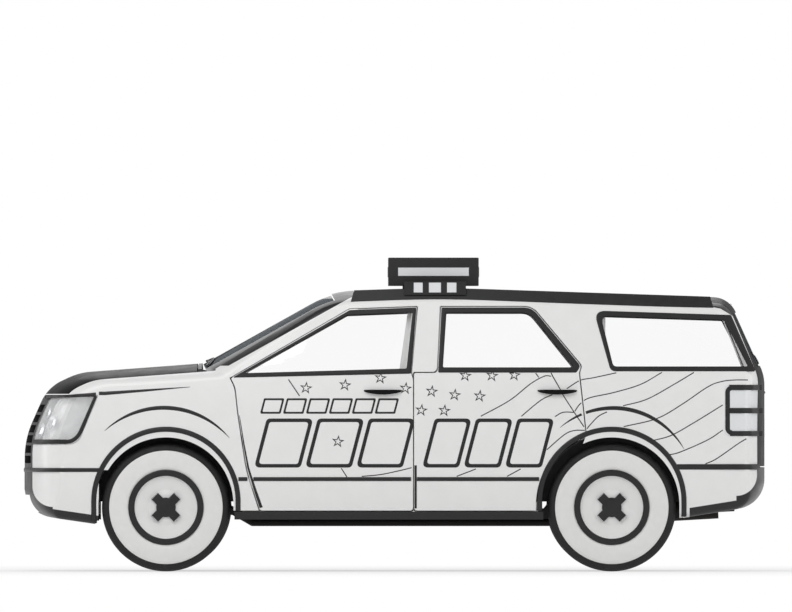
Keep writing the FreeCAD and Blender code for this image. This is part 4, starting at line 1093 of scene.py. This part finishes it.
# %% From the drawing's pixels to metres
METRES_PER_PIXEL, ZERO_PX, GROUND_PY = 0.00673, 394.5, 571.5
LINE_WIDTH, VINYL = 0.007, 0.0012


def drawn(pixels):
    """Side-view points (x, z) in metres from pixel places: x = (x0 - px) s, z = (z0 - py) s."""
    pixels = np.asarray(pixels, float)
    return np.stack([ZERO_PX - pixels[:, 0], GROUND_PY - pixels[:, 1]], axis=1) * METRES_PER_PIXEL


def flowing(points, per_span=8):
    """A smooth line through the points: the Catmull-Rom cubic between each pair."""
    p = np.concatenate([[2 * points[0] - points[1]], points, [2 * points[-1] - points[-2]]])
    t = np.linspace(0, 1, per_span, endpoint=False)[None, :, None]
    a, b, c, d = (p[k:len(p) - 3 + k, None] for k in range(4))
    curve = 0.5 * (2 * b + (c - a) * t + (2 * a - 5 * b + 4 * c - d) * t ** 2
                   + (3 * b - a - 3 * c + d) * t ** 3)
    return np.concatenate([curve.reshape(-1, 2), points[-1:]])


# %% Waves and the flag's two edges
WAVES_PX = [
    [(480.8, 416.2), (509.5, 400.4), (530.6, 383.7), (544.3, 376.2), (551, 376.2)],
    [(521.3, 416.2), (540.5, 400.4), (552.4, 394.6)],
    [(566.7, 388.6), (580, 380.4), (593.5, 377.7), (616.2, 372.8)],
    [(554.9, 416.6), (562.9, 412.3), (574.1, 412.3)],
    [(574.7, 411.2), (580.1, 403.8), (589.5, 397.8), (613.6, 392.5), (640.4, 384.4), (661.8, 372.4)],
    [(622.9, 405.8), (647, 399.1), (673.8, 384.4), (693.9, 372.4)],
    [(546.8, 449.6), (564.2, 434.7), (574.1, 430.5), (585.9, 430.3)],
    [(585.4, 430.6), (590.8, 423.9), (598.8, 415.9), (606.9, 411.9)],
    [(623.6, 426.6), (656.4, 418.6), (680.5, 405.2), (707.3, 387.1), (720.7, 381.7), (734.1, 380),
     (754.9, 380)],
    [(653.7, 440.3), (671.2, 435.3), (693.9, 422.6), (722.7, 404.9)],
    [(667.8, 455), (680.5, 451.8), (707.3, 440), (722.7, 430)],
    [(705.3, 463.8), (716.7, 458.5), (739.5, 442.7), (751.5, 436)],
    [(456.6, 476.3), (475.9, 468.9)],
    [(507, 476.3), (520.6, 468.9)],
    [(361.8, 476.3), (380.5, 474.5), (399, 470.7), (411.6, 467.6)],
]
FLAG_EDGES_PX = [
    [(288.4, 379.3), (299.6, 396)],
    [(341.3, 468.2), (346.9, 476.9)],
    [(551, 373), (553, 376.8), (559.8, 388.6), (562.9, 394.9), (574.1, 412.3), (585.9, 429.7)],
    [(535.6, 373.1), (538.7, 377.4)],
]
lines = [(flowing(drawn(wave)), LINE_WIDTH) for wave in WAVES_PX]
lines += [(drawn(edge), LINE_WIDTH) for edge in FLAG_EDGES_PX]
add_strips("vinyl_waves", lines, VINYL, SEAL_RUBBER, step=0.008, across=5)


# %% Rings between two outlines
RING_SHARES = (0, 0, 0.25, 0.75, 1, 1)
RING_LIFTS = (-0.001, VINYL * 0.7, VINYL, VINYL, VINYL * 0.7, -0.001)


def add_rings(name, rings):
    """Adds vinyl rings (centre, outer, inner) on both sides, each on the body that its centre lies on."""
    _, panels = shoot_side(*np.array([centre for centre, _, _ in rings]).T)
    by_body = {}
    for panel, (_, outer, inner) in zip(panels, rings):
        by_body.setdefault(PANEL_BODY.get(LEFT_PANELS[panel], "body"), []).append((outer, inner))
    for body, pairs in by_body.items():
        add_pair(name, body, lambda sign: looped(*(ring_between(*pair, RING_SHARES, RING_LIFTS, sign)
                                                   for pair in pairs)), SEAL_RUBBER)


# %% Five-pointed stars
STARS_PX = [(306, 388), (345, 385.0), (380.5, 378.0), (405.6, 388.3), (431.7, 391.4), (454.7, 394.9),
            (479.6, 396.1), (421.3, 410.2), (444.3, 410.6), (465.3, 375.6), (492, 375.6), (514.4, 375),
            (338, 441.5)]
STAR_RADIUS, STAR_TURN_DEG = 0.045, 7.0


def star_outline(centre, radius):
    """Ten corners at radius and 0.382 radius, as in a regular pentagram, with points along each edge."""
    turn = np.radians(90 + STAR_TURN_DEG + 36 * np.arange(10))
    reach = radius * np.where(np.arange(10) % 2 == 0, 1.0, 0.382)
    corners = np.stack([reach * np.cos(turn), reach * np.sin(turn)], axis=1)
    share = np.linspace(0, 1, 4, endpoint=False)[None, :, None]
    edges = corners[:, None] * (1 - share) + np.roll(corners, -1, axis=0)[:, None] * share
    return np.asarray(centre) + edges.reshape(-1, 2)


# An edge of a pentagram lies 0.309 radii from its centre, so a scaled copy is a parallel one.
inner_radius = STAR_RADIUS - LINE_WIDTH / 0.309 * 0.8
add_rings("vinyl_stars", [(centre, star_outline(centre, STAR_RADIUS), star_outline(centre, inner_radius))
                          for centre in drawn(STARS_PX)])

# %% Slanted blocks
BLOCK_LEAN = 13 / 50
LARGE_BLOCKS = {"low": 0.700, "high": 1.030, "edge": 0.024, "gap": 0.030,
                "spans": [(0.945, -0.085, 3), (-0.185, -1.020, 3)]}
SMALL_BLOCKS = {"low": 1.062, "high": 1.166, "edge": 0.013, "gap": 0.016, "spans": [(0.905, -0.020, 6)]}


def slanted_blocks(low, high, edge, gap, spans):
    """Parallelograms side by side: their tops lean rearwards by the lean times their height."""
    rings = []
    shift, radius = BLOCK_LEAN * (high - low), (high - low) * 0.1
    slant, foot = edge * math.hypot(1, BLOCK_LEAN), BLOCK_LEAN * edge
    for start, stop, count in spans:
        pitch = (start - stop) / count
        for k in range(count):
            front, back = start - k * pitch, start - (k + 1) * pitch + gap
            outline = [(front, low), (front - shift, high), (back - shift, high), (back, low)]
            inside = [(front - slant - foot, low + edge), (front - slant - shift + foot, high - edge),
                      (back + slant - shift + foot, high - edge), (back + slant - foot, low + edge)]
            rings.append((((front + back - shift) / 2, (low + high) / 2),
                          rounded_outline(outline, [radius] * 4, 8, 12),
                          rounded_outline(inside, [radius * 0.6] * 4, 8, 12)))
    return rings


add_rings("slanted_blocks", slanted_blocks(**LARGE_BLOCKS) + slanted_blocks(**SMALL_BLOCKS))
print("after the printed side:", COUNT)

# %% [markdown]
# ## The cabin
#
# The seats are foam under stretched cloth, with a crown in the middle, bolsters at the sides and sewn
# channels across. Each pad is a superellipsoid, a box whose edges are rounded by a power law, and the
# crown, bolsters and channels are added to it as smooth bumps. That gives the same full, closed shape
# as an inflated cover in a fraction of a second, so no cloth is simulated for pads behind glass.

# %% A padded form
def signed_power(value, power):
    return np.sign(value) * np.abs(value) ** power


def pad_grid(half_size, edge=0.35, rows=72, columns=128):
    """Superellipsoid: x = a c^e, y = b s^e, z = h s^e with one shared edge power e, poles at the ends of y.

    A small power gives a box with tight edges, and 1 gives an ellipsoid.
    """
    a, b, h = half_size
    turn = np.linspace(0, 2 * np.pi, columns, endpoint=False)[None, :]
    along = np.linspace(-np.pi / 2, np.pi / 2, rows + 2)[1:-1, None]
    ring = np.abs(np.cos(along)) ** edge
    return np.stack([
        a * ring * signed_power(np.cos(turn), edge),
        np.broadcast_to(b * signed_power(np.sin(along), edge), (rows, columns)),
        h * ring * signed_power(np.sin(turn), edge),
    ], axis=-1)


CHANNEL_DEPTH, CHANNEL_WIDTH, SEAM_DEPTH, SEAM_WIDTH = 0.006, 0.007, 0.007, 0.006


def upholstered(half_size, crown, bolster, channels, seams, edge=0.35):
    """A pad with z as its soft face: + crown (1-u^2)(1-v^2) + bolster near |v| = 0.8 - channels and seams."""
    grid = pad_grid(half_size, edge)
    u, v = grid[..., 0] / half_size[0], grid[..., 1] / half_size[1]
    soft = np.clip(grid[..., 2] / half_size[2], 0, 1)
    rise = crown * (1 - u ** 2) * (1 - v ** 2)
    rise += bolster * np.exp(-((np.abs(v) - 0.8) / 0.13) ** 2) * (1 - u ** 4)
    for place in channels:
        rise -= CHANNEL_DEPTH * np.exp(-((grid[..., 0] - place) / CHANNEL_WIDTH) ** 2) * (np.abs(v) < 0.62)
    for place in seams:
        rise -= SEAM_DEPTH * np.exp(-((np.abs(v) - place) * half_size[1] / SEAM_WIDTH) ** 2)
    grid[..., 2] += rise * soft
    return grid


def placed(grid, centre, lean_deg=0.0):
    """The grid turned about Y so that its x axis leans by lean_deg from +X towards +Z, then moved."""
    c, s = math.cos(math.radians(lean_deg)), math.sin(math.radians(lean_deg))
    x, z = grid[..., 0] * c - grid[..., 2] * s, grid[..., 0] * s + grid[..., 2] * c
    return np.stack([x, grid[..., 1], z], axis=-1) + np.asarray(centre)


def block(half_size, edge, rows, columns, centre, lean_deg=0.0):
    """A plain rounded block in its place."""
    return placed(pad_grid(half_size, edge, rows, columns), centre, lean_deg)


def tube_grid(path, radius, flat_axis, sides=10):
    """A round tube along a path: each ring lies across the tangent, started from flat_axis x tangent."""
    path = np.asarray(path, float)
    tangent = np.gradient(path, axis=0)
    tangent /= np.linalg.norm(tangent, axis=1, keepdims=True)
    side = np.cross(np.broadcast_to(flat_axis, path.shape), tangent)
    side /= np.linalg.norm(side, axis=1, keepdims=True)
    top = np.cross(tangent, side)
    angle = np.linspace(0, 2 * np.pi, sides, endpoint=False)[None, :, None]
    radius = np.broadcast_to(radius, len(path))[:, None, None]
    return path[:, None] + radius * (np.cos(angle) * side[:, None] + np.sin(angle) * top[:, None])


# %% Front seats
SEAT_Y = 0.380
# Half sizes, crown, bolster, channels, seams and edge power of each pad, then its centre and lean.
CUSHION = ((0.262, 0.247, 0.072), 0.008, 0.012, (-0.13, -0.04, 0.05, 0.14), (0.62,)), (0.198, 0.640), 0.0
BACKREST = ((0.340, 0.240, 0.052), 0.008, 0.012, (-0.18, -0.08, 0.02, 0.12), (0.62,)), (-0.125, 0.985), 106.8
HEADREST = ((0.085, 0.118, 0.048), 0.006, 0.0, (), (0.8,), 0.5), (-0.225, 1.395), 97.0


def soft_face_forward(grid):
    """A backrest's soft face is its front: z turns to -z, so that the lean brings it forwards."""
    return grid * (1, 1, -1)


def seat_pad(form, centre, lean_deg, y):
    """One pad of a front seat at y. One that leans has its soft face in front."""
    grid = upholstered(*form)
    return placed(soft_face_forward(grid) if lean_deg else grid, (centre[0], y, centre[1]), lean_deg)


for side, sign in SIDES:
    y = sign * SEAT_Y
    pads = [seat_pad(*pad, y) for pad in (CUSHION, BACKREST, HEADREST)]
    seat = add_piece(f"seat_pads_{side}", capped(*pads), "body", SEAT_CLOTH, sharp_deg=60)
    if sign > 0:
        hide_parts("front_seats")
    posts = [tube_grid([(-0.205, y + off, 1.28), (-0.215, y + off, 1.34), (-0.222, y + off, 1.38)],
                       0.0065, (0, 1, 0)) for off in (-0.055, 0.055)]
    add_piece(f"headrest_posts_{side}", capped(*posts), "body", SHEET_STEEL)
    base = [block((0.235, 0.030, 0.050), 0.2, 16, 40, (0.18, y + off, 0.512)) for off in (-0.20, 0.20)]
    base.append(block((0.215, 0.190, 0.020), 0.2, 16, 40, (0.18, y, 0.555)))
    add_piece(f"seat_runners_{side}", capped(*base), "body", TRIM_PLASTIC)

# %% Rear bench
BENCH_CUSHION = ((0.228, 0.628, 0.072), 0.006, 0.0, (-0.10, 0.0, 0.10), (0.97,), 0.3)
BENCH_BACK = ((0.335, 0.625, 0.050), 0.006, 0.0, (-0.15, -0.03, 0.09), (0.97,), 0.3)


def bench_face(form):
    """A bench pad for three: its soft face swells at each place and dips in two grooves between."""
    grid, half_y = upholstered(*form), form[0][1]
    soft = np.clip(grid[..., 2] / 0.05, 0, 1)
    for groove in (-0.333, 0.333):
        grid[..., 2] -= 0.009 * np.exp(-((grid[..., 1] / half_y - groove) * half_y / 0.010) ** 2) * soft
        grid[..., 2] += 0.004 * soft * np.cos(grid[..., 1] / half_y * 3 * np.pi) / 2
    return grid


bench = add_piece("rear_bench_pads", capped(
    placed(bench_face(BENCH_CUSHION), (-0.625, 0.0, 0.640)),
    placed(soft_face_forward(bench_face(BENCH_BACK)), (-0.880, 0.0, 0.990), 102.9),
), "body", SEAT_CLOTH, sharp_deg=60)
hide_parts("rear_bench")
add_piece("bench_base", capped(block((0.200, 0.600, 0.052), 0.15, 16, 48, (-0.640, 0.0, 0.510))), "body",
          TRIM_PLASTIC)

# %% [markdown]
# ### Door cards and headliner
#
# A door card is a moulded board clipped to the inside of the door, with an armrest, a pull and a map
# pocket. The same board is a height field: its depth from the door's inner face is a sum of smooth
# bumps. The roof lining is a pressed board too, and follows the roof a few millimetres below it.

# %% Boards as height fields
def plateau(value, low, high, soft):
    """1 between low and high, falling smoothly to 0 over soft metres outside them."""
    share = np.clip((value - low) / soft + 1, 0, 1) * np.clip((high - value) / soft + 1, 0, 1)
    return smooth(share)


def smooth(value):
    """Smoothstep of values from 0 to 1."""
    return value * value * (3 - 2 * value)


def shoot_grid(node, starts, way):
    """The places on a CAD node that rays from a grid of starts meet along way, nan for a miss."""
    tree, _ = node_tree([node])
    found = np.full(starts.shape, np.nan)
    for i in np.ndindex(starts.shape[:-1]):
        place = tree.ray_cast(Vector(starts[i]), Vector(way))[0]
        if place is not None:
            found[i] = place
    return found


def board(x, face, back, z):
    """One grid that goes over a board's face and returns over its back."""
    return np.concatenate([np.stack([x, face, z], axis=-1), np.stack([x, back, z], axis=-1)[::-1]])


DOOR_CARDS = {"door_front": (0.860, -0.075), "door_rear": (-0.210, -0.930)}
CARD_LOW_Z, CARD_HIGH_Z, CARD_DEPTH, RIM_WIDTH = 0.500, 1.285, 0.009, 0.02


def door_card(body, front_x, rear_x):
    """Board depth = base + armrest + pocket + dished speaker + rib, and a back just off the door."""
    x, z = np.meshgrid(np.linspace(rear_x, front_x, 110), np.linspace(CARD_LOW_Z, CARD_HIGH_Z, 90),
                       indexing="ij")
    inner = shoot_grid(f"{body}_left", np.stack([x, np.full(x.shape, 0.4), z], axis=-1), (0, 1, 0))[..., 1]
    inner = np.where(np.isnan(inner), np.nanmedian(inner), inner)
    inner = np.minimum(inner, np.nanmedian(inner, axis=0, keepdims=True) + 0.01)
    middle, half_length = (front_x + rear_x) / 2, (front_x - rear_x) / 2
    u = (x - middle) / half_length
    rim = smooth(np.clip((1 - np.abs(u)) * half_length / RIM_WIDTH, 0, 1)) * smooth(
        np.clip(np.minimum(z - CARD_LOW_Z, CARD_HIGH_Z - z) / RIM_WIDTH, 0, 1))

    def bump(z_range, z_soft, x_range, x_soft):
        return plateau(z, *z_range, z_soft) * plateau(x, middle + x_range[0], middle + x_range[1], x_soft)

    arm = 0.042 * bump((0.905, 0.955), 0.035, (-0.28, 0.20), 0.06)
    pocket = 0.022 * bump((0.54, 0.66), 0.03, (-0.30, 0.12), 0.03)
    pocket -= 0.014 * bump((0.655, 0.668), 0.006, (-0.27, 0.09), 0.02)
    speaker = np.hypot(x - (middle + 0.27), z - 0.66)
    dish = 0.010 * np.exp(-((speaker - 0.075) / 0.010) ** 2) - 0.004 * (speaker < 0.066)
    rib = -0.003 * np.exp(-((z - 1.045 - 0.04 * u) / 0.006) ** 2)
    depth = 0.001 + (CARD_DEPTH + arm + pocket + dish + rib) * rim
    return board(x, inner - depth, inner - 0.0005, z), (middle, inner[55, 45])


for body, (front_x, rear_x) in DOOR_CARDS.items():
    card, (middle, inner_y) = door_card(body, front_x, rear_x)
    for side, sign in SIDES:
        add_piece(f"door_card_{body}_{side}", [(card * (1, sign, 1), True, False, False)],
                  f"{body}_{side}", DARK_DASH, sharp_deg=50)
        lever = [(middle + ahead, sign * (inner_y - off), z)
                 for ahead, off, z in ((0.16, 0.018, 1.085), (0.12, 0.030, 1.088), (0.04, 0.030, 1.086))]
        add_piece(f"door_lever_{body}_{side}", capped(tube_grid(lever, (0.010, 0.009, 0.006), (0, 0, 1), 12)),
                  f"{body}_{side}", SHEET_STEEL)

LINING_GAP, LINING_WALL = 0.004, 0.006
x, y = np.meshgrid(np.linspace(-2.02, 0.34, 60), np.linspace(-0.70, 0.70, 44), indexing="ij")
z = shoot_grid("roof_panel", np.stack([x, y, np.full(x.shape, 1.2)], axis=-1), (0, 0, 1))[..., 2]
z = np.where(np.isnan(z), np.nanmin(z), z) - LINING_GAP
z -= 0.010 * np.clip((np.abs(y) - 0.62) / 0.08, 0, 1) ** 2
HEADLINER = moulded("pale_felt_headliner", "#B9BABB", "#C6C7C8", 0.85, 0.95, 0.003, 0.0002)
# The lining lies flat, so its board is made with y and z exchanged.
lining = board(x, z - LINING_WALL, z, y)[..., [0, 2, 1]]
add_piece("headliner", [(lining, True, False, False)], "body", HEADLINER)

# %% [markdown]
# ### Dashboard, wheel and console
#
# The dashboard is a soft moulding with an instrument hood in front of the driver, a blank screen in
# the middle and four louvred vents. Each sits on the face that the CAD model gives, found by rays
# shot forwards from the seats. The vents are arrays of thin blades in a frame.

# %% Dashboard fittings
dash_tree, _ = node_tree(["dashboard"])


def dash_x(y, z):
    """Where the dashboard's rear face is, for a ray going forwards."""
    place, _, _, _ = dash_tree.ray_cast(Vector((0.2, y, z)), Vector((1, 0, 0)))
    return place.x if place is not None else 0.75


VENT_HALF, VENT_Z, VENT_YS = (0.075, 0.032), 1.165, (0.66, 0.165, -0.165, -0.66)
# The vent's frame: shares of its outline and how far each lies ahead of the dashboard's face.
VENT_FRAME = ((1.10, 0.006), (1.10, -0.006), (1.0, -0.008), (0.94, -0.006), (0.94, 0.006))
vent_line = rounded_outline([(-1, -1), (1, -1), (1, 1), (-1, 1)], [0.25] * 4, 6, 6) * VENT_HALF
vents = []
for y in VENT_YS:
    x = dash_x(y, VENT_Z) - 0.002
    frame_rings = [np.stack([np.full(len(vent_line), x + ahead), y + vent_line[:, 0] * share,
                             VENT_Z + vent_line[:, 1] * share], axis=-1) for share, ahead in VENT_FRAME]
    vents += looped(np.array(frame_rings))
    vents += capped(*(block((0.009, VENT_HALF[0] * 0.95, 0.0016), 0.3, 8, 16,
                            (x - 0.002, y, VENT_Z + level * VENT_HALF[1]), 20.0)
                      for level in np.linspace(-0.7, 0.7, 5)))
add_piece("dash_vents", vents, "body", TRIM_PLASTIC)
add_piece("instrument_hood", capped(block((0.075, 0.165, 0.034), 0.5, 40, 64,
                                          (dash_x(SEAT_Y, 1.22) + 0.060, SEAT_Y, 1.258), -6.0)),
          "body", DARK_DASH)
SCREEN_BLACK, screen_surface = new_material("black_cover_glass", Roughness=0.12, Coat_Weight=1.0)
tint(SCREEN_BLACK, screen_surface, grain(SCREEN_BLACK, screen_surface, 0.02, 0.000005).outputs["Fac"],
     "#060708", "#0A0B0C")
add_piece("centre_screen", capped(block((0.006, 0.110, 0.072), 0.12, 24, 48,
                                        (dash_x(0.0, 1.05) - 0.006, 0.0, 1.045))), "body", SCREEN_BLACK)

# %% Console and gear lever
add_piece("console", capped(block((0.330, 0.098, 0.125), 0.22, 40, 96, (0.370, 0.0, 0.590)),
                            block((0.130, 0.090, 0.030), 0.4, 30, 60, (0.160, 0.0, 0.735))),
          "body", DARK_DASH)
LEVER_PATH = [(0.470, 0.0, 0.700), (0.462, 0.0, 0.760), (0.452, 0.0, 0.820)]
add_piece("gear_lever", capped(tube_grid(LEVER_PATH, (0.011, 0.009, 0.009), (0, 1, 0), 14),
                               block((0.024, 0.022, 0.034), 0.8, 20, 32, (0.448, 0.0, 0.838), -8.0)),
          "body", TRIM_PLASTIC)
print("after the cabin:", COUNT)

# %% [markdown]
# ## Fittings outside
#
# Two wipers rest at the foot of the windscreen and one on the rear glass. A woven steel guard closes
# the lower intake, and the lamp bar's slot is divided into modules by thin black ribs.

# %% Wipers
screen_tree, _ = node_tree(["windscreen"])
rear_tree, _ = node_tree(["tailgate_glass", "tailgate"])


def on_windscreen(x, y, lift):
    """A point above the windscreen: the ray comes straight down."""
    place, normal, _, _ = screen_tree.ray_cast(Vector((x, y, 3.0)), Vector((0, 0, -1)))
    if place is None:
        place, normal = Vector((x, y, 1.38)), Vector((0.4, 0, 0.9))
    return np.array(place + normal * (lift if normal.z > 0 else -lift))


def along_tailgate(start, end, count, lift):
    """A line behind the tailgate from one (y, z) to another: the rays come straight forwards."""
    line = []
    for y, z in np.linspace(start, end, count):
        place, normal, _, _ = rear_tree.ray_cast(Vector((-4.0, y, z)), Vector((1, 0, 0)))
        line.append(place + normal * (lift if normal.x < 0 else -lift))
    return np.array(line)


def blunt(widest, power, count):
    """Radii of a tube that keeps its width until close to its ends."""
    return widest * (1 - np.linspace(-1, 1, count) ** power) + 0.002


# Each wiper: where its blade starts and ends across the screen, and where its arm pivots.
WIPERS = [(0.62, 0.04, 0.64), (-0.06, -0.64, -0.02)]
BLADE_X, BLADE_BOW, PIVOT_X = 1.245, 0.030, 1.266
wiper_arms, wiper_blades = [], []
for start_y, end_y, pivot_y in WIPERS:
    share = np.linspace(0, 1, 26)
    bow = list(zip(BLADE_X - BLADE_BOW * np.sin(np.pi * share), start_y + (end_y - start_y) * share))
    blade, spine = (np.array([on_windscreen(x, y, lift) for x, y in bow]) for lift in (0.003, 0.007))
    arm = np.array([on_windscreen(x, y, 0.008) for x, y in np.linspace(
        (PIVOT_X, pivot_y), (BLADE_X - BLADE_BOW, (start_y + end_y) / 2), 14)])
    wiper_blades.append(tube_grid(blade, 0.004, (0, 0, 1), 8))
    wiper_arms.append(tube_grid(spine, 0.003, (0, 0, 1), 8))
    wiper_arms.append(tube_grid(arm, np.linspace(0.007, 0.003, 14), (0, 0, 1), 10))
add_piece("wiper_arms", capped(*wiper_arms), "body", TRIM_PLASTIC)
add_piece("wiper_blades", capped(*wiper_blades), "body", SEAL_RUBBER)
rear_arm = along_tailgate((0.0, 1.400), (0.30, 1.450), 16, 0.005)
rear_blade = along_tailgate((0.12, 1.425), (0.48, 1.475), 20, 0.003)
add_piece("rear_wiper", capped(tube_grid(rear_arm, np.linspace(0.006, 0.004, 16), (1, 0, 0)),
                               tube_grid(rear_blade, 0.003, (1, 0, 0), 8)), "tailgate", SEAL_RUBBER)

# %% Tailgate grip and high brake lamp
add_piece("tailgate_grip", capped(tube_grid(along_tailgate((-0.26, 1.205), (0.26, 1.205), 40, -0.006),
                                            blunt(0.010, 12, 40), (0, 0, 1), 14)), "tailgate", TRIM_PLASTIC)
add_piece("high_brake_lamp", capped(tube_grid(along_tailgate((-0.17, 1.800), (0.17, 1.800), 30, -0.004),
                                              blunt(0.009, 10, 30), (0, 0, 1), 12)), "tailgate", LAMP_LENS)

# %% Intake guard
GUARD_X, GUARD_HALF_Y, GUARD_Z, GUARD_PITCH = 2.345, 0.515, (0.400, 0.512), 0.028
WIRE_RADIUS = 0.0022


def wire(y, z, phase, flat_axis):
    """A woven wire: its x swings by its radius, to the other side at each crossing."""
    y, z = np.broadcast_arrays(y, z)
    swing = WIRE_RADIUS * (-1.0) ** (np.arange(len(y)) + phase)
    return tube_grid(np.stack([GUARD_X + swing, y, z], axis=1), WIRE_RADIUS, flat_axis, 6)


guard = [wire(y, np.linspace(*GUARD_Z, 9), k, (0, 1, 0))
         for k, y in enumerate(np.arange(-GUARD_HALF_Y, GUARD_HALF_Y + 1e-6, GUARD_PITCH))]
guard += [wire(np.linspace(-GUARD_HALF_Y, GUARD_HALF_Y, 75), z, k + 1, (0, 0, 1))
          for k, z in enumerate(np.linspace(GUARD_Z[0] + 0.014, GUARD_Z[1] - 0.014, 4))]
add_piece("intake_guard", capped(*guard), "body", TRIM_PLASTIC)

# The duct behind the guard stays below the two chassis rails and rises between them.
add_piece("intake_duct", capped(block((0.004, 0.362, 0.105), 0.15, 24, 48, (2.294, 0.0, 0.480)),
                                block((0.004, 0.525, 0.047), 0.15, 24, 48, (2.284, 0.0, 0.420))),
          "body", TRIM_PLASTIC)

# %% Ribs of the lamp bar
RIB_PITCH, BAR_ENDS_X, BAR_SLOT_Z = 0.115, (0.0435, -0.5675), (1.985, 2.050)
rib_half = (0.003, 0.004, (BAR_SLOT_Z[1] - BAR_SLOT_Z[0]) / 2)
ribs = [block(rib_half, 0.15, 8, 20, (x, y, sum(BAR_SLOT_Z) / 2))
        for y in np.arange(-5, 6) * RIB_PITCH for x in BAR_ENDS_X]
add_piece("lamp_bar_ribs", capped(*ribs), "body", TRIM_PLASTIC)
print("after the fittings:", COUNT)

# %% [markdown]
# ## Floor, light and camera
#
# The drawing stands on white paper, so the floor and the world are white to the camera, and a soft
# studio of three large lamps models the shape. Only what the camera sees is made whiter; the light on
# the vehicle stays plain.

# %% Pale floor
def floor_material():
    """White paper. The camera sees it whitened, wholly so far off, and near by it keeps some shadow."""
    material, surface = new_material("pale_studio_floor", Roughness=0.9)
    surface.inputs["Base Color"].default_value = paint("#F2F2F2")
    place = add_node(material, "ShaderNodeTexCoord")
    distance = add_node(material, "ShaderNodeVectorMath", {"operation": "LENGTH"}, [place.outputs["Object"]])
    far = ramp(material, distance.outputs["Value"], 2.5, 7.0, 0.60, 1.0)
    light = add_node(material, "ShaderNodeLightPath")
    seen = combined(material, "MAXIMUM", [light.outputs[f"Is {kind} Ray"]
                                          for kind in ("Camera", "Glossy", "Transmission")])
    share = combined(material, "MULTIPLY", [seen, far])
    white = add_node(material, "ShaderNodeEmission", {"Color": (1, 1, 1, 1), "Strength": 1.0})
    mixed = add_node(material, "ShaderNodeMixShader",
                     inputs=[share, surface.outputs["BSDF"], white.outputs["Emission"]])
    join(mixed.outputs["Shader"], material.node_tree.nodes["Material Output"].inputs["Surface"])
    return material


span = np.linspace(-40, 40, 3)
floor_points = np.stack(np.meshgrid(span, span, [0.0], indexing="ij"), axis=-1)[:, :, 0]
floor = bpy.data.objects.new("floor", joined_mesh("floor", [(floor_points, False, False, False)]))
floor.data.materials.append(floor_material())
bpy.context.scene.collection.objects.link(floor)

# %% World, lamps and camera
world = bpy.data.worlds.new("white_room")
bpy.context.scene.world = world
world.use_nodes = True
backdrop = world.node_tree.nodes["Background"]
backdrop.inputs["Color"].default_value = (1, 1, 1, 1)
seen = add_node(world, "ShaderNodeLightPath")
clear = combined(world, "MAXIMUM", [seen.outputs["Is Camera Ray"], seen.outputs["Is Transmission Ray"]])
join(ramp(world, clear, 0.0, 1.0, 0.45, 1.0), backdrop.inputs["Strength"])


def area_lamp(name, place, target, size, watts):
    """A large soft lamp at place that faces target."""
    lamp = bpy.data.lights.new(name, "AREA")
    lamp.shape, lamp.size, lamp.energy = "DISK", size, watts
    lamp_object = bpy.data.objects.new(name, lamp)
    lamp_object.location = place
    lamp_object.rotation_euler = (Vector(target) - Vector(place)).to_track_quat("-Z", "Y").to_euler()
    bpy.context.scene.collection.objects.link(lamp_object)


area_lamp("key_lamp", (3.0, 6.5, 6.0), (0, 0, 0.9), 6.0, 230)
area_lamp("fill_lamp", (-6.0, 5.0, 3.5), (0, 0, 0.9), 6.0, 90)
area_lamp("back_lamp", (0.0, -7.0, 5.0), (0, 0, 0.9), 7.0, 150)
area_lamp("nose_lamp", (8.0, -1.0, 3.0), (0, 0, 0.9), 5.0, 110)
area_lamp("tail_side_lamp", (-8.0, -1.0, 3.5), (0, 0, 0.9), 5.0, 90)

# The drawing is a side view with almost no perspective, so the camera is far off, with a long lens.
DISTANCE, VIEW_WIDTH = 200.0, 5.33
camera = bpy.data.objects.new("camera", bpy.data.cameras.new("camera"))
camera.data.sensor_width = 36.0
camera.data.lens = 36.0 * (DISTANCE - 0.9) / VIEW_WIDTH
camera.data.clip_end = 500.0
camera.location = (-0.010, DISTANCE, 1.2)
aim = Vector((-0.010, 0.9, 1.787)) - camera.location
camera.rotation_euler = aim.to_track_quat("-Z", "Y").to_euler()
bpy.context.scene.collection.objects.link(camera)
bpy.context.scene.camera = camera
bpy.context.scene.view_settings.view_transform = "Standard"
